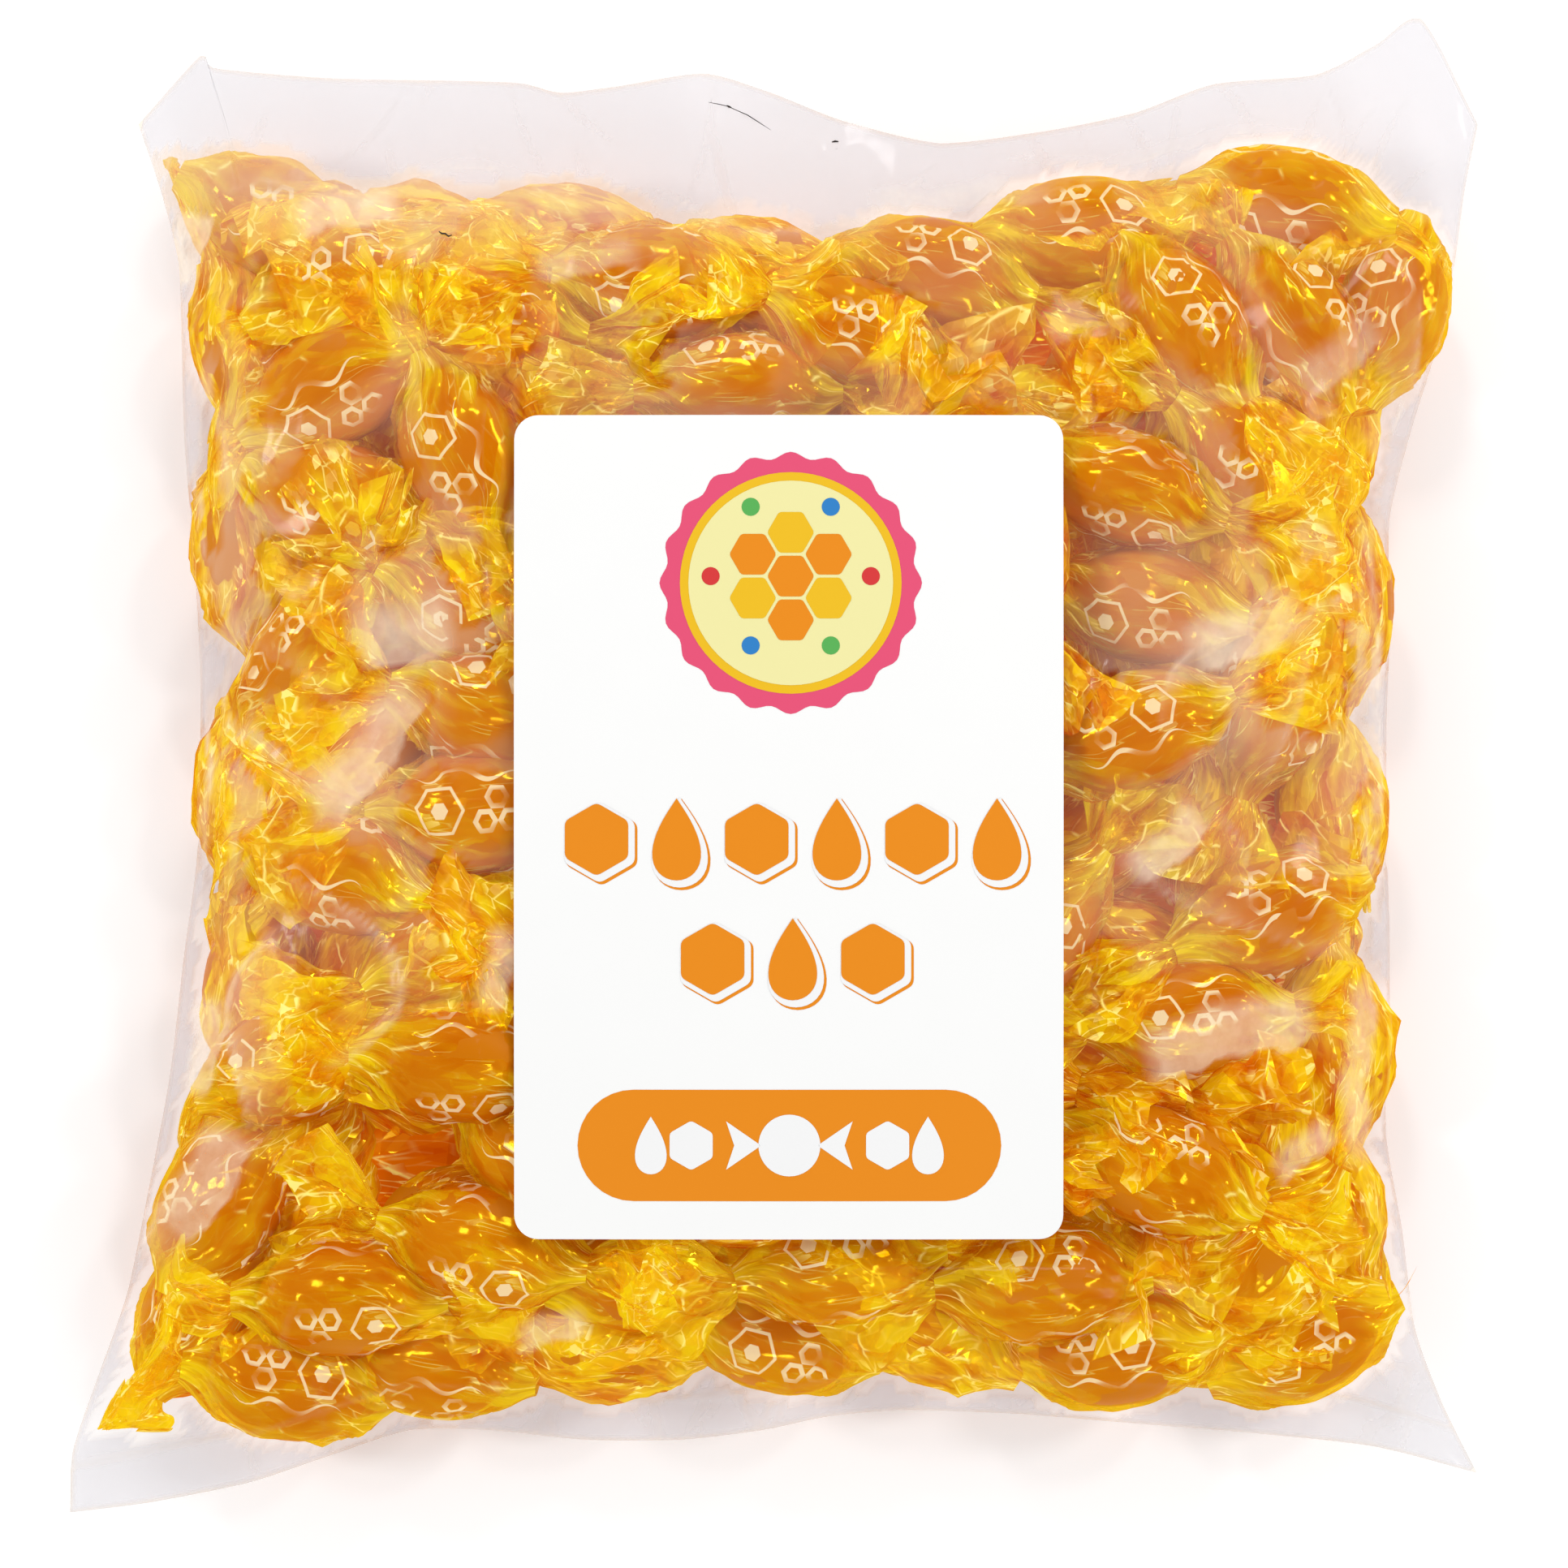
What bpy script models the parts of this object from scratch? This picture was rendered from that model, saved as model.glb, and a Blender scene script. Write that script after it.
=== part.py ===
# A clear sealed bag of twist-wrapped honey sweets with a plain-shaped paper label, lying on its back.
# +Z is up, +Y is towards the bag's top seal, and the origin is under the middle of its outline.
# The bag and what it holds are one solid: its film is drawn tight over the sweets and bridges between them.
import math

import bmesh
import bpy
import numpy as np

MM = 0.001

# The bag's outline seen from above, in millimetres: the sealed top edge, the sealed bottom edge and the two
# folded sides, each from left to right or from bottom to top. The edges meet at the four corners.
TOP_EDGE = [
    (-96, 97), (-86.5, 107.5), (-84.5, 105.5), (-67.5, 104), (-48, 103.5), (-38, 103), (-32, 101.5),
    (-23.5, 102.5), (-10.5, 104.5), (-0.5, 101.5), (10.5, 97), (25, 93.5), (41, 95.5), (54.5, 98.5),
    (66.5, 103), (82, 104.5), (91, 109), (98, 113), (106.5, 97),
]
BOTTOM_EDGE = [
    (-106.5, -113), (-94.5, -111.5), (-79.5, -108.5), (-67.5, -104.5), (-55, -100.5), (-43, -100.5),
    (-28.5, -102), (-14, -102), (-1.5, -100.5), (8, -98.5), (19, -97.5), (36, -98), (54.5, -99.5),
    (73, -101), (91, -103), (106.5, -107),
]
LEFT_EDGE = [
    (-106.5, -113), (-106, -103.5), (-101.5, -90.5), (-97.5, -79), (-93.5, -59.5), (-91, -46), (-89, -29),
    (-87, -14), (-86.5, 0.5), (-86.5, 15), (-87.5, 32), (-89, 49.5), (-89.5, 66.5), (-90, 76.5),
    (-92.5, 86.5), (-96, 97),
]
RIGHT_EDGE = [
    (106.5, -107), (101, -96), (97, -85), (95, -70), (92.5, -55.5), (93, -41), (93, -25), (92.5, -9.5),
    (92.5, 5.5), (93, 20), (93, 37), (96, 49.5), (100, 62.5), (103, 76), (104.5, 87), (106.5, 97),
]

# The sweets that show best through the front film, as (x, y, turn in degrees, depth below the front).
FRONT_SWEETS = [
    (-68, 75, 15, 2), (-46, 70, -10, 0), (-19, 73, -8, 2), (-47, 47, -65, 0), (-66, 58, 25, 2),
    (-67, 40, -15, 0), (-4, 58, 12, 0), (24, 72, -15, 0), (47, 80, 8, 1), (62, 66, -60, 2),
    (85, 66, -10, 1), (53, 42, -12, 0), (77, 48, -18, 2), (-69, 17, 58, 0), (-46, 21, -30, 4),
    (-44, -5, 8, 1), (-66, -14, -15, 0), (-47, -26, 30, 2), (-74, -43, 15, 1), (-47, -46, -10, 0),
    (-85, -71, 55, 2), (-64, -81, 8, 1), (-42, -72, -8, 1), (-54, -92, -10, 0), (-20, -79, 5, 2),
    (9, -75, 6, 1), (22, -88, -50, 2), (41, -78, 0, 0), (58, -60, -25, 1), (62, -37, 10, 1),
    (78, -22, 15, 2), (54, 5, 20, 0), (55, 24, -10, 3), (77, 12, 70, 2), (82, -72, 60, 3),
]

# One wrapped sweet, as half sizes.
SWEET_HALF_LONG, SWEET_HALF_WIDE, SWEET_HALF_TALL = 13.0, 9.4, 7.2

# The other sweets lie in staggered rows, one layer of them deep under the front and one on the back film,
# as (rows, columns, step between rows, step between columns).
DEEP_ROWS = (7, 6, 26.0, 30.0)
BACK_ROWS = (5, 4, 29.0, 36.0)
DEEP_LAYER_DEPTH = 6.0
ROWS_MIDDLE_Y = -5.0
ROW_STAGGER = 0.25
TURN_PER_ROW, TURN_PER_COLUMN = 111.0, 185.0

CROWN_HEIGHT = 35.0
SIDE_FOLD_HEIGHT = 9.0
TOP_SEAL_HEIGHT = 6.0
BOTTOM_SEAL_HEIGHT = 3.5
EDGE_THICKNESS = 0.8
TOP_FLAP, BOTTOM_FLAP = 13.0, 6.0
FULLNESS = 4.2
SHOULDER = 0.5

# The top seal stands up in two waves, each as (middle x, height, half width).
TOP_WAVES = [(25.0, 11.0, 30.0), (-31.0, 4.0, 17.0)]

# The side folds reach their height this share of the way up the bag, and stay level from a little further.
FOLD_START, FOLD_LEVEL = 0.08, 0.12

# How far the edges round off between their points, and how finely they are worked out.
ROUNDNESS = 0.65
STEPS_PER_SPAN = 16

# Cells of the film, across and along the bag, and rounds of drawing it tight.
CELLS_ACROSS, CELLS_ALONG = 50, 56
TIGHTENING_ROUNDS = 1500

LABEL_WIDTH, LABEL_HEIGHT = 81.7, 122.6
LABEL_CENTRE = (2.3, -9.2)
LABEL_CORNER_RADIUS = 3.6
LABEL_THICKNESS = 0.5
LABEL_GAP = 0.3
LABEL_TOP = 35.6
LABEL_SAG_ACROSS, LABEL_SAG_ALONG = 1.6, 2.4
LABEL_CORNER_STEPS = 6
LABEL_CELL = 8.0
PRESSED_MARGIN = 4.6

FILM_COLOUR = (0.93, 0.66, 0.16)
LABEL_COLOUR = (0.96, 0.96, 0.95)


def clear_scene():
    for thing in list(bpy.data.objects):
        bpy.data.objects.remove(thing)


def make_material(name, colour, roughness):
    material = bpy.data.materials.new(name)
    material.use_nodes = True
    shader = material.node_tree.nodes["Principled BSDF"]
    shader.inputs["Base Color"].default_value = (*colour, 1.0)
    shader.inputs["Roughness"].default_value = roughness
    shader.inputs["Metallic"].default_value = 0.0
    return material


def add_mesh(name, bm, material):
    mesh = bpy.data.meshes.new(name)
    bmesh.ops.recalc_face_normals(bm, faces=bm.faces)
    bm.to_mesh(mesh)
    bm.free()
    mesh.materials.append(material)
    mesh.shade_smooth()
    mesh.set_sharp_from_angle(angle=math.radians(50))
    thing = bpy.data.objects.new(name, mesh)
    bpy.context.scene.collection.objects.link(thing)
    return thing


def smooth_edge(points, count):
    """Evenly spaced points along a rounded curve through the given ones."""
    knots = np.array(points, float)
    padded = np.vstack([2 * knots[0] - knots[1], knots, 2 * knots[-1] - knots[-2]])
    fine = []
    for before, start, end, after in zip(padded, padded[1:], padded[2:], padded[3:]):
        for u in np.linspace(0, 1, STEPS_PER_SPAN, endpoint=False):
            straight = start * (1 - u) + end * u
            swing = (end - before) * (u - 2 * u**2 + u**3) + (after - start) * (u**3 - u**2)
            hermite = start * (1 - 3 * u**2 + 2 * u**3) + end * (3 * u**2 - 2 * u**3) + 0.5 * swing
            fine.append((1 - ROUNDNESS) * straight + ROUNDNESS * hermite)
    fine = np.array(fine + [knots[-1]])
    length = np.concatenate([[0], np.cumsum(np.linalg.norm(np.diff(fine, axis=0), axis=1))])
    wanted = np.linspace(0, length[-1], count)
    return np.column_stack([np.interp(wanted, length, fine[:, axis]) for axis in (0, 1)])


def film_plan():
    """The film's points seen from above, as [along, across, xy], stretched between the four edges."""
    bottom = smooth_edge(BOTTOM_EDGE, CELLS_ACROSS + 1)
    top = smooth_edge(TOP_EDGE, CELLS_ACROSS + 1)
    left = smooth_edge(LEFT_EDGE, CELLS_ALONG + 1)
    right = smooth_edge(RIGHT_EDGE, CELLS_ALONG + 1)
    s = np.linspace(0, 1, CELLS_ACROSS + 1)[None, :, None]
    t = np.linspace(0, 1, CELLS_ALONG + 1)[:, None, None]
    between_ends = (1 - t) * bottom[None] + t * top[None]
    between_sides = (1 - s) * left[:, None] + s * right[:, None]
    corners = (
        (1 - s) * (1 - t) * bottom[0] + s * (1 - t) * bottom[-1] + (1 - s) * t * top[0] + s * t * top[-1]
    )
    return between_ends + between_sides - corners


def crown_at(x, y):
    """The height that the contents reach at a place: level in the middle, falling off at all four edges."""
    left, right = (np.array(edge, float) for edge in (LEFT_EDGE, RIGHT_EDGE))
    bottom, top = (np.array(edge, float) for edge in (BOTTOM_EDGE, TOP_EDGE))
    low_x, high_x = np.interp(y, left[:, 1], left[:, 0]), np.interp(y, right[:, 1], right[:, 0])
    low_y = np.interp(x, bottom[:, 0], bottom[:, 1]) + BOTTOM_FLAP
    high_y = np.interp(x, top[:, 0], top[:, 1]) - TOP_FLAP
    across = np.clip(np.abs(2 * (x - low_x) / (high_x - low_x) - 1), 0, 1)
    along = np.clip(np.abs(2 * (y - low_y) / (high_y - low_y) - 1), 0, 1)
    swell = (1 - across**FULLNESS) ** SHOULDER * (1 - along**FULLNESS) ** SHOULDER
    return SIDE_FOLD_HEIGHT + (CROWN_HEIGHT - SIDE_FOLD_HEIGHT) * swell


def edge_height(plan):
    """The height of the seals and side folds, which the film between them is drawn from."""
    t = np.linspace(0, 1, CELLS_ALONG + 1)[:, None]
    x = plan[..., 0]
    top = TOP_SEAL_HEIGHT + sum(
        height * np.exp(-(((x - middle) / half_width) ** 2)) for middle, height, half_width in TOP_WAVES
    )
    side = SIDE_FOLD_HEIGHT * np.sqrt(np.sin(math.pi * np.clip(t, FOLD_LEVEL, 1 - FOLD_LEVEL)))
    share_of_side = np.clip(np.minimum(t, 1 - t) / FOLD_START, 0, 1)
    sealed = np.where(t > 0.5, top, BOTTOM_SEAL_HEIGHT)
    return sealed + (side - sealed) * share_of_side


def staggered_sweets(rows, columns, row_step, column_step):
    """The (x, y, turn) of sweets in staggered rows about the bag's middle."""
    for row in range(rows):
        for column in range(columns):
            shift = ROW_STAGGER if row % 2 else -ROW_STAGGER
            x = (column - (columns - 1) / 2 + shift) * column_step
            y = (row - (rows - 1) / 2) * row_step + ROWS_MIDDLE_Y
            yield x, y, (TURN_PER_ROW * row + TURN_PER_COLUMN * column) % 180


def sweet_rise(plan, x, y, turn):
    """How far one sweet's rounded back stands above its middle at each place, or minus infinity beside it."""
    cos, sin = math.cos(math.radians(turn)), math.sin(math.radians(turn))
    dx, dy = plan[..., 0] - x, plan[..., 1] - y
    along = (dx * cos + dy * sin) / SWEET_HALF_LONG
    across = (dy * cos - dx * sin) / SWEET_HALF_WIDE
    inside = 1 - along**2 - across**2
    return np.where(inside > 0, SWEET_HALF_TALL * np.sqrt(np.maximum(inside, 0)), -np.inf)


def on_label(plan, margin):
    dx = np.abs(plan[..., 0] - LABEL_CENTRE[0])
    dy = np.abs(plan[..., 1] - LABEL_CENTRE[1])
    return (dx < LABEL_WIDTH / 2 + margin) & (dy < LABEL_HEIGHT / 2 + margin)


def label_underside(x, y):
    """The label bends gently with the bag: highest in its middle, lower at its edges."""
    across = (x - LABEL_CENTRE[0]) / (LABEL_WIDTH / 2)
    along = (y - LABEL_CENTRE[1]) / (LABEL_HEIGHT / 2)
    return LABEL_TOP - LABEL_THICKNESS - LABEL_SAG_ACROSS * across**2 - LABEL_SAG_ALONG * along**2


def drawn_tight(start, keep_beyond):
    """The film between its edges, each point at the mean of its neighbours unless a sweet holds it off."""
    height = keep_beyond(start.copy())
    for _ in range(TIGHTENING_ROUNDS):
        around = height[:-2, 1:-1] + height[2:, 1:-1] + height[1:-1, :-2] + height[1:-1, 2:]
        height[1:-1, 1:-1] = around / 4
        height = keep_beyond(height)
        height[0], height[-1], height[:, 0], height[:, -1] = start[0], start[-1], start[:, 0], start[:, -1]
    return height


def film_heights(plan):
    """The heights of the front film and of the back film over the plan."""
    rim = edge_height(plan)
    front = np.full(rim.shape, -np.inf)
    back = np.full(rim.shape, np.inf)
    deep_sweets = [(*place, DEEP_LAYER_DEPTH) for place in staggered_sweets(*DEEP_ROWS)]
    for x, y, turn, depth in FRONT_SWEETS + deep_sweets:
        middle = max(crown_at(x, y) - depth - SWEET_HALF_TALL, SWEET_HALF_TALL)
        rise = sweet_rise(plan, x, y, turn)
        front = np.maximum(front, middle + rise)
        back = np.minimum(back, middle - rise)
    for x, y, turn in staggered_sweets(*BACK_ROWS):
        back = np.minimum(back, SWEET_HALF_TALL - sweet_rise(plan, x, y, turn))
    pressed = on_label(plan, PRESSED_MARGIN)
    under_label = label_underside(plan[..., 0], plan[..., 1]) - LABEL_GAP

    def above_sweets(height):
        return np.where(pressed, under_label, np.maximum(height, front))

    def below_sweets(height):
        return np.maximum(np.minimum(height, back), 0.0)

    return drawn_tight(rim + EDGE_THICKNESS / 2, above_sweets), drawn_tight(rim - EDGE_THICKNESS / 2, below_sweets)


def make_bag(material):
    plan = film_plan()
    front, back = film_heights(plan)
    front = np.maximum(front, back + EDGE_THICKNESS)
    bm = bmesh.new()
    sheets = []
    for height in (back, front):
        sheets.append(
            [
                [bm.verts.new((x * MM, y * MM, z * MM)) for (x, y), z in zip(places, heights)]
                for places, heights in zip(plan, height)
            ]
        )
    below, above = sheets
    for row in range(CELLS_ALONG):
        for column in range(CELLS_ACROSS):
            for sheet in sheets:
                near, far = sheet[row], sheet[row + 1]
                bm.faces.new((near[column], near[column + 1], far[column + 1], far[column]))
    for row in range(CELLS_ALONG):
        for column in (0, CELLS_ACROSS):
            bm.faces.new((below[row][column], below[row + 1][column], above[row + 1][column], above[row][column]))
    for column in range(CELLS_ACROSS):
        for row in (0, CELLS_ALONG):
            bm.faces.new((below[row][column], below[row][column + 1], above[row][column + 1], above[row][column]))
    return add_mesh("bag", bm, material)


def label_outline():
    """The label's rounded rectangle, anticlockwise."""
    inner_x = LABEL_WIDTH / 2 - LABEL_CORNER_RADIUS
    inner_y = LABEL_HEIGHT / 2 - LABEL_CORNER_RADIUS
    for corner, (side_x, side_y) in enumerate([(1, 1), (-1, 1), (-1, -1), (1, -1)]):
        for step in range(LABEL_CORNER_STEPS + 1):
            angle = math.radians(90 * (corner + step / LABEL_CORNER_STEPS))
            yield (
                LABEL_CENTRE[0] + side_x * inner_x + LABEL_CORNER_RADIUS * math.cos(angle),
                LABEL_CENTRE[1] + side_y * inner_y + LABEL_CORNER_RADIUS * math.sin(angle),
            )


def cut_into_cells(bm, low, high, axis):
    """Cuts the flat label along lines a cell apart, so that it can bend."""
    count = math.ceil((high - low) / LABEL_CELL)
    normal = [0.0, 0.0, 0.0]
    normal[axis] = 1.0
    for line in range(1, count):
        place = [0.0, 0.0, 0.0]
        place[axis] = low + (high - low) * line / count
        everything = bm.verts[:] + bm.edges[:] + bm.faces[:]
        bmesh.ops.bisect_plane(bm, geom=everything, plane_co=place, plane_no=normal)


def make_label(material):
    bm = bmesh.new()
    bm.faces.new([bm.verts.new((x, y, 0)) for x, y in label_outline()])
    cut_into_cells(bm, LABEL_CENTRE[0] - LABEL_WIDTH / 2, LABEL_CENTRE[0] + LABEL_WIDTH / 2, 0)
    cut_into_cells(bm, LABEL_CENTRE[1] - LABEL_HEIGHT / 2, LABEL_CENTRE[1] + LABEL_HEIGHT / 2, 1)
    bmesh.ops.triangulate(bm, faces=bm.faces[:])
    lifted = bmesh.ops.extrude_face_region(bm, geom=bm.faces[:])
    for vert in lifted["geom"]:
        if isinstance(vert, bmesh.types.BMVert):
            vert.co.z = LABEL_THICKNESS
    for vert in bm.verts:
        x, y, z = vert.co
        vert.co = (x * MM, y * MM, (z + label_underside(x, y)) * MM)
    return add_mesh("label", bm, material)


def centre_on_ground(things):
    """Moves the meshes so that the origin lies under the middle of the bag's box, on the ground."""
    corners = np.array([vert.co for thing in things for vert in thing.data.vertices])
    low, high = corners.min(axis=0), corners.max(axis=0)
    shift = (-(low[0] + high[0]) / 2, -(low[1] + high[1]) / 2, -low[2])
    for thing in things:
        for vert in thing.data.vertices:
            vert.co = [value + move for value, move in zip(vert.co, shift)]


clear_scene()
bag = make_bag(make_material("filled_film", FILM_COLOUR, 0.2))
label = make_label(make_material("label_paper", LABEL_COLOUR, 0.35))
centre_on_ground([bag, label])
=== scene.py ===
import math

import bmesh
import bpy
import numpy as np
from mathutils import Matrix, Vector


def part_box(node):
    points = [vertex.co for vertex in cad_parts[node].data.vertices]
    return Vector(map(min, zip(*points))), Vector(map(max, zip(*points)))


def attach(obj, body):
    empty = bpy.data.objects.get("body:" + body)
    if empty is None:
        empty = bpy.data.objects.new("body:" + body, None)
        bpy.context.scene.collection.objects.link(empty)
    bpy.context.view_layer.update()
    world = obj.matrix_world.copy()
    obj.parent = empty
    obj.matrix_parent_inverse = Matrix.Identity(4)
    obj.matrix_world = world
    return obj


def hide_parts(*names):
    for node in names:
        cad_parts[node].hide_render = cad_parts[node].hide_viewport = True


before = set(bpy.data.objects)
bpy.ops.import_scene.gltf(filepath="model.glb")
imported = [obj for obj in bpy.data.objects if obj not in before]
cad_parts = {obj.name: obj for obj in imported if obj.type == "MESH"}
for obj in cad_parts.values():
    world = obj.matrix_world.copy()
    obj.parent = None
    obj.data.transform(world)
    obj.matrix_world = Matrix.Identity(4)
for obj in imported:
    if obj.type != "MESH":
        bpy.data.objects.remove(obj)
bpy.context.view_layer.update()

# A clear sealed bag of twist-wrapped honey sweets, lying on its back with its label up.
# Places are in millimetres in the CAD frame: +X right, +Y towards the top seal, +Z up.
mm = 0.001
bagLow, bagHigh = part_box("bag")
labelLow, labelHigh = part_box("label")
dice = np.random.default_rng(31)


# Mesh helpers

def pieceOf(name, mesh, material):
    mesh.materials.append(material)
    piece = bpy.data.objects.new(name, mesh)
    bpy.context.scene.collection.objects.link(piece)
    return piece


def addPiece(name, points, faces, material, uv=None, facets=False, crease=None, painted=None):
    # a piece from points in mm and their faces, with values painted on its points by name
    mesh = bpy.data.meshes.new(name)
    mesh.from_pydata((np.asarray(points) * mm).tolist(), [], np.asarray(faces).tolist())
    if uv is not None:
        layer = mesh.uv_layers.new(name="wrapSheet")
        corners = np.empty(len(mesh.loops), int)
        mesh.loops.foreach_get("vertex_index", corners)
        layer.data.foreach_set("uv", np.asarray(uv, float)[corners].ravel())
    for layerName, values in (painted or {}).items():
        layer = mesh.attributes.new(layerName, "FLOAT", "POINT")
        layer.data.foreach_set("value", np.asarray(values, float).ravel())
    if not facets:
        mesh.shade_smooth()
    if crease:
        mesh.set_sharp_from_angle(angle=math.radians(crease))
    mesh.validate()
    return pieceOf(name, mesh, material)


def bmPiece(name, bm, material):
    # a piece from a bmesh in mm
    for vert in bm.verts:
        vert.co *= mm
    mesh = bpy.data.meshes.new(name)
    bm.to_mesh(mesh)
    bm.free()
    mesh.shade_smooth()
    return pieceOf(name, mesh, material)


def gridFaces(rows, columns, closed=False, first=0):
    # quads of a rows by columns grid of points, joined round if closed
    r, c = np.mgrid[0:rows - 1, 0:columns if closed else columns - 1]
    beside = (c + 1) % columns
    corners = [r * columns + c, r * columns + beside, (r + 1) * columns + beside, (r + 1) * columns + c]
    return np.stack(corners, -1).reshape(-1, 4) + first


def easeIn(value):
    value = np.clip(value, 0, 1)
    return value * value * (3 - 2 * value)


def rideOnRoot(piece, slotName, *nodes, clear=False):
    # a clear piece lets light through to what it covers
    if clear:
        piece.visible_shadow = False
        piece.visible_diffuse = False
        piece.visible_glossy = False
    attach(piece, "root")
    if nodes:
        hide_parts(*nodes)


# Bag: the outline is the CAD bag's, so its four edges are repeated here

bag = {
    "topEdge": [
        (-96, 97), (-86.5, 107.5), (-84.5, 105.5), (-67.5, 104), (-48, 103.5), (-38, 103), (-32, 101.5),
        (-23.5, 102.5), (-10.5, 104.5), (-0.5, 101.5), (10.5, 97), (25, 93.5), (41, 95.5), (54.5, 98.5),
        (66.5, 103), (82, 104.5), (91, 109), (98, 113), (106.5, 97),
    ],
    "bottomEdge": [
        (-106.5, -113), (-94.5, -111.5), (-79.5, -108.5), (-67.5, -104.5), (-55, -100.5), (-43, -100.5),
        (-28.5, -102), (-14, -102), (-1.5, -100.5), (8, -98.5), (19, -97.5), (36, -98), (54.5, -99.5),
        (73, -101), (91, -103), (106.5, -107),
    ],
    "leftEdge": [
        (-106.5, -113), (-106, -103.5), (-101.5, -90.5), (-97.5, -79), (-93.5, -59.5), (-91, -46), (-89, -29),
        (-87, -14), (-86.5, 0.5), (-86.5, 15), (-87.5, 32), (-89, 49.5), (-89.5, 66.5), (-90, 76.5),
        (-92.5, 86.5), (-96, 97),
    ],
    "rightEdge": [
        (106.5, -107), (101, -96), (97, -85), (95, -70), (92.5, -55.5), (93, -41), (93, -25), (92.5, -9.5),
        (92.5, 5.5), (93, 20), (93, 37), (96, 49.5), (100, 62.5), (103, 76), (104.5, 87), (106.5, 97),
    ],
    "contentsTop": [
        (-97, 93), (-91, 94), (-86, 91), (-69, 91.5), (-57, 87.5), (-34, 87), (-8, 84), (16, 83.5), (46, 88),
        (66, 92.5), (81, 92), (86, 89), (93, 87.5), (97, 84), (102, 78), (105, 70),
    ],
    "contentsBottom": [
        (-104, -103), (-62, -101), (-45, -97.5), (-14, -93.5), (6, -96), (40, -95), (72, -96.5), (88, -93),
        (96, -85), (102, -74),
    ],
    # gaps where the film shows by itself beside the contents: place along the edge, half length and depth
    "leftGaps": [(59, 9, 3.5), (-38, 8, 6), (-69, 8, 3), (-87, 7, 4), (22, 5, 2)],
    "rightGaps": [(51, 6, 8), (36, 4, 4), (6, 5, 2), (-33, 5, 3), (-63, 7, 5)],
    "topGaps": [(3, 5, 5), (-72, 5, 2)],
    "bottomGaps": [(-78, 6, 4), (-2, 7, 3), (-38, 5, 2)],
    "roundness": 0.65,  # of the edges between their points
    "curveSteps": 16,
    "crown": bagHigh.z / mm + 0.2,
    "offFloor": 0.35,
    "sideFold": 9.0,  # heights of the rim
    "topSeal": 6.0,
    "bottomSeal": 3.5,
    "topWaves": [(25.0, 11.0, 30.0), (-31.0, 4.0, 17.0)],  # middle x, height, half width
    "sealEnds": 0.08,  # share of the way along a side in which the seal turns into the side fold
    "foldEnds": 0.12,
    "topFlap": 13.0,
    "bottomFlap": 6.0,
    "fullness": 4.2,  # how square the filled bag is, seen from above
    "shoulder": 0.5,
    "footCurve": 1.5,
}
leftEdge, rightEdge, bottomEdge, topEdge, contentsTop, contentsBottom = (
    np.array(bag[edge], float)
    for edge in ("leftEdge", "rightEdge", "bottomEdge", "topEdge", "contentsTop", "contentsBottom")
)


def edgeCurve(knots, count):
    # evenly spaced points along a rounded curve through the knots
    padded = np.vstack([2 * knots[0] - knots[1], knots, 2 * knots[-1] - knots[-2]])
    fine = []
    for before, start, end, after in zip(padded, padded[1:], padded[2:], padded[3:]):
        for u in np.linspace(0, 1, bag["curveSteps"], endpoint=False):
            straight = start * (1 - u) + end * u
            swing = (end - before) * (u - 2 * u**2 + u**3) + (after - start) * (u**3 - u**2)
            curved = start * (1 - 3 * u**2 + 2 * u**3) + end * (3 * u**2 - 2 * u**3) + 0.5 * swing
            fine.append((1 - bag["roundness"]) * straight + bag["roundness"] * curved)
    fine = np.array(fine + [knots[-1]])
    length = np.concatenate([[0], np.cumsum(np.linalg.norm(np.diff(fine, axis=0), axis=1))])
    wanted = np.linspace(0, length[-1], count)
    return np.column_stack([np.interp(wanted, length, fine[:, axis]) for axis in (0, 1)])


def bagPlan(across, along):
    # the film seen from above, stretched between its four edges
    bottom, top = edgeCurve(bottomEdge, across + 1), edgeCurve(topEdge, across + 1)
    left, right = edgeCurve(leftEdge, along + 1), edgeCurve(rightEdge, along + 1)
    s = np.linspace(0, 1, across + 1)[None, :, None]
    t = np.linspace(0, 1, along + 1)[:, None, None]
    ends = (1 - t) * bottom[None] + t * top[None]
    sides = (1 - s) * left[:, None] + s * right[:, None]
    corners = (1 - s) * (1 - t) * bottom[0] + s * (1 - t) * bottom[-1]
    corners = corners + (1 - s) * t * top[0] + s * t * top[-1]
    return ends + sides - corners


def roomAt(x, y):
    # shares of the way from the contents' middle to their edges, across and along the bag
    lowX = np.interp(y, leftEdge[:, 1], leftEdge[:, 0])
    highX = np.interp(y, rightEdge[:, 1], rightEdge[:, 0])
    lowY = np.interp(x, bottomEdge[:, 0], bottomEdge[:, 1]) + bag["bottomFlap"]
    highY = np.interp(x, topEdge[:, 0], topEdge[:, 1]) - bag["topFlap"]
    return 2 * (x - lowX) / (highX - lowX) - 1, 2 * (y - lowY) / (highY - lowY) - 1


def swellAt(x, y):
    # how full the bag is: 1 in its middle and 0 along its edges
    across, along = (np.clip(abs(room), 0, 1) for room in roomAt(x, y))
    full = bag["fullness"]
    return ((1 - across**full) * (1 - along**full)) ** bag["shoulder"]


def rimHeight(plan):
    # height of the film's edge, carried across its rows
    x = plan[..., 0]
    t = np.linspace(0, 1, plan.shape[0])[:, None]
    waves = sum(height * np.exp(-(((x - middle) / half) ** 2)) for middle, height, half in bag["topWaves"])
    top = bag["topSeal"] + waves
    side = bag["sideFold"] * np.sqrt(np.sin(math.pi * np.clip(t, bag["foldEnds"], 1 - bag["foldEnds"])))
    sealed = np.where(t > 0.5, top, bag["bottomSeal"])
    return sealed + (side - sealed) * np.clip(np.minimum(t, 1 - t) / bag["sealEnds"], 0, 1)


# Label: its place, size and bend are the CAD label's

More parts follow.
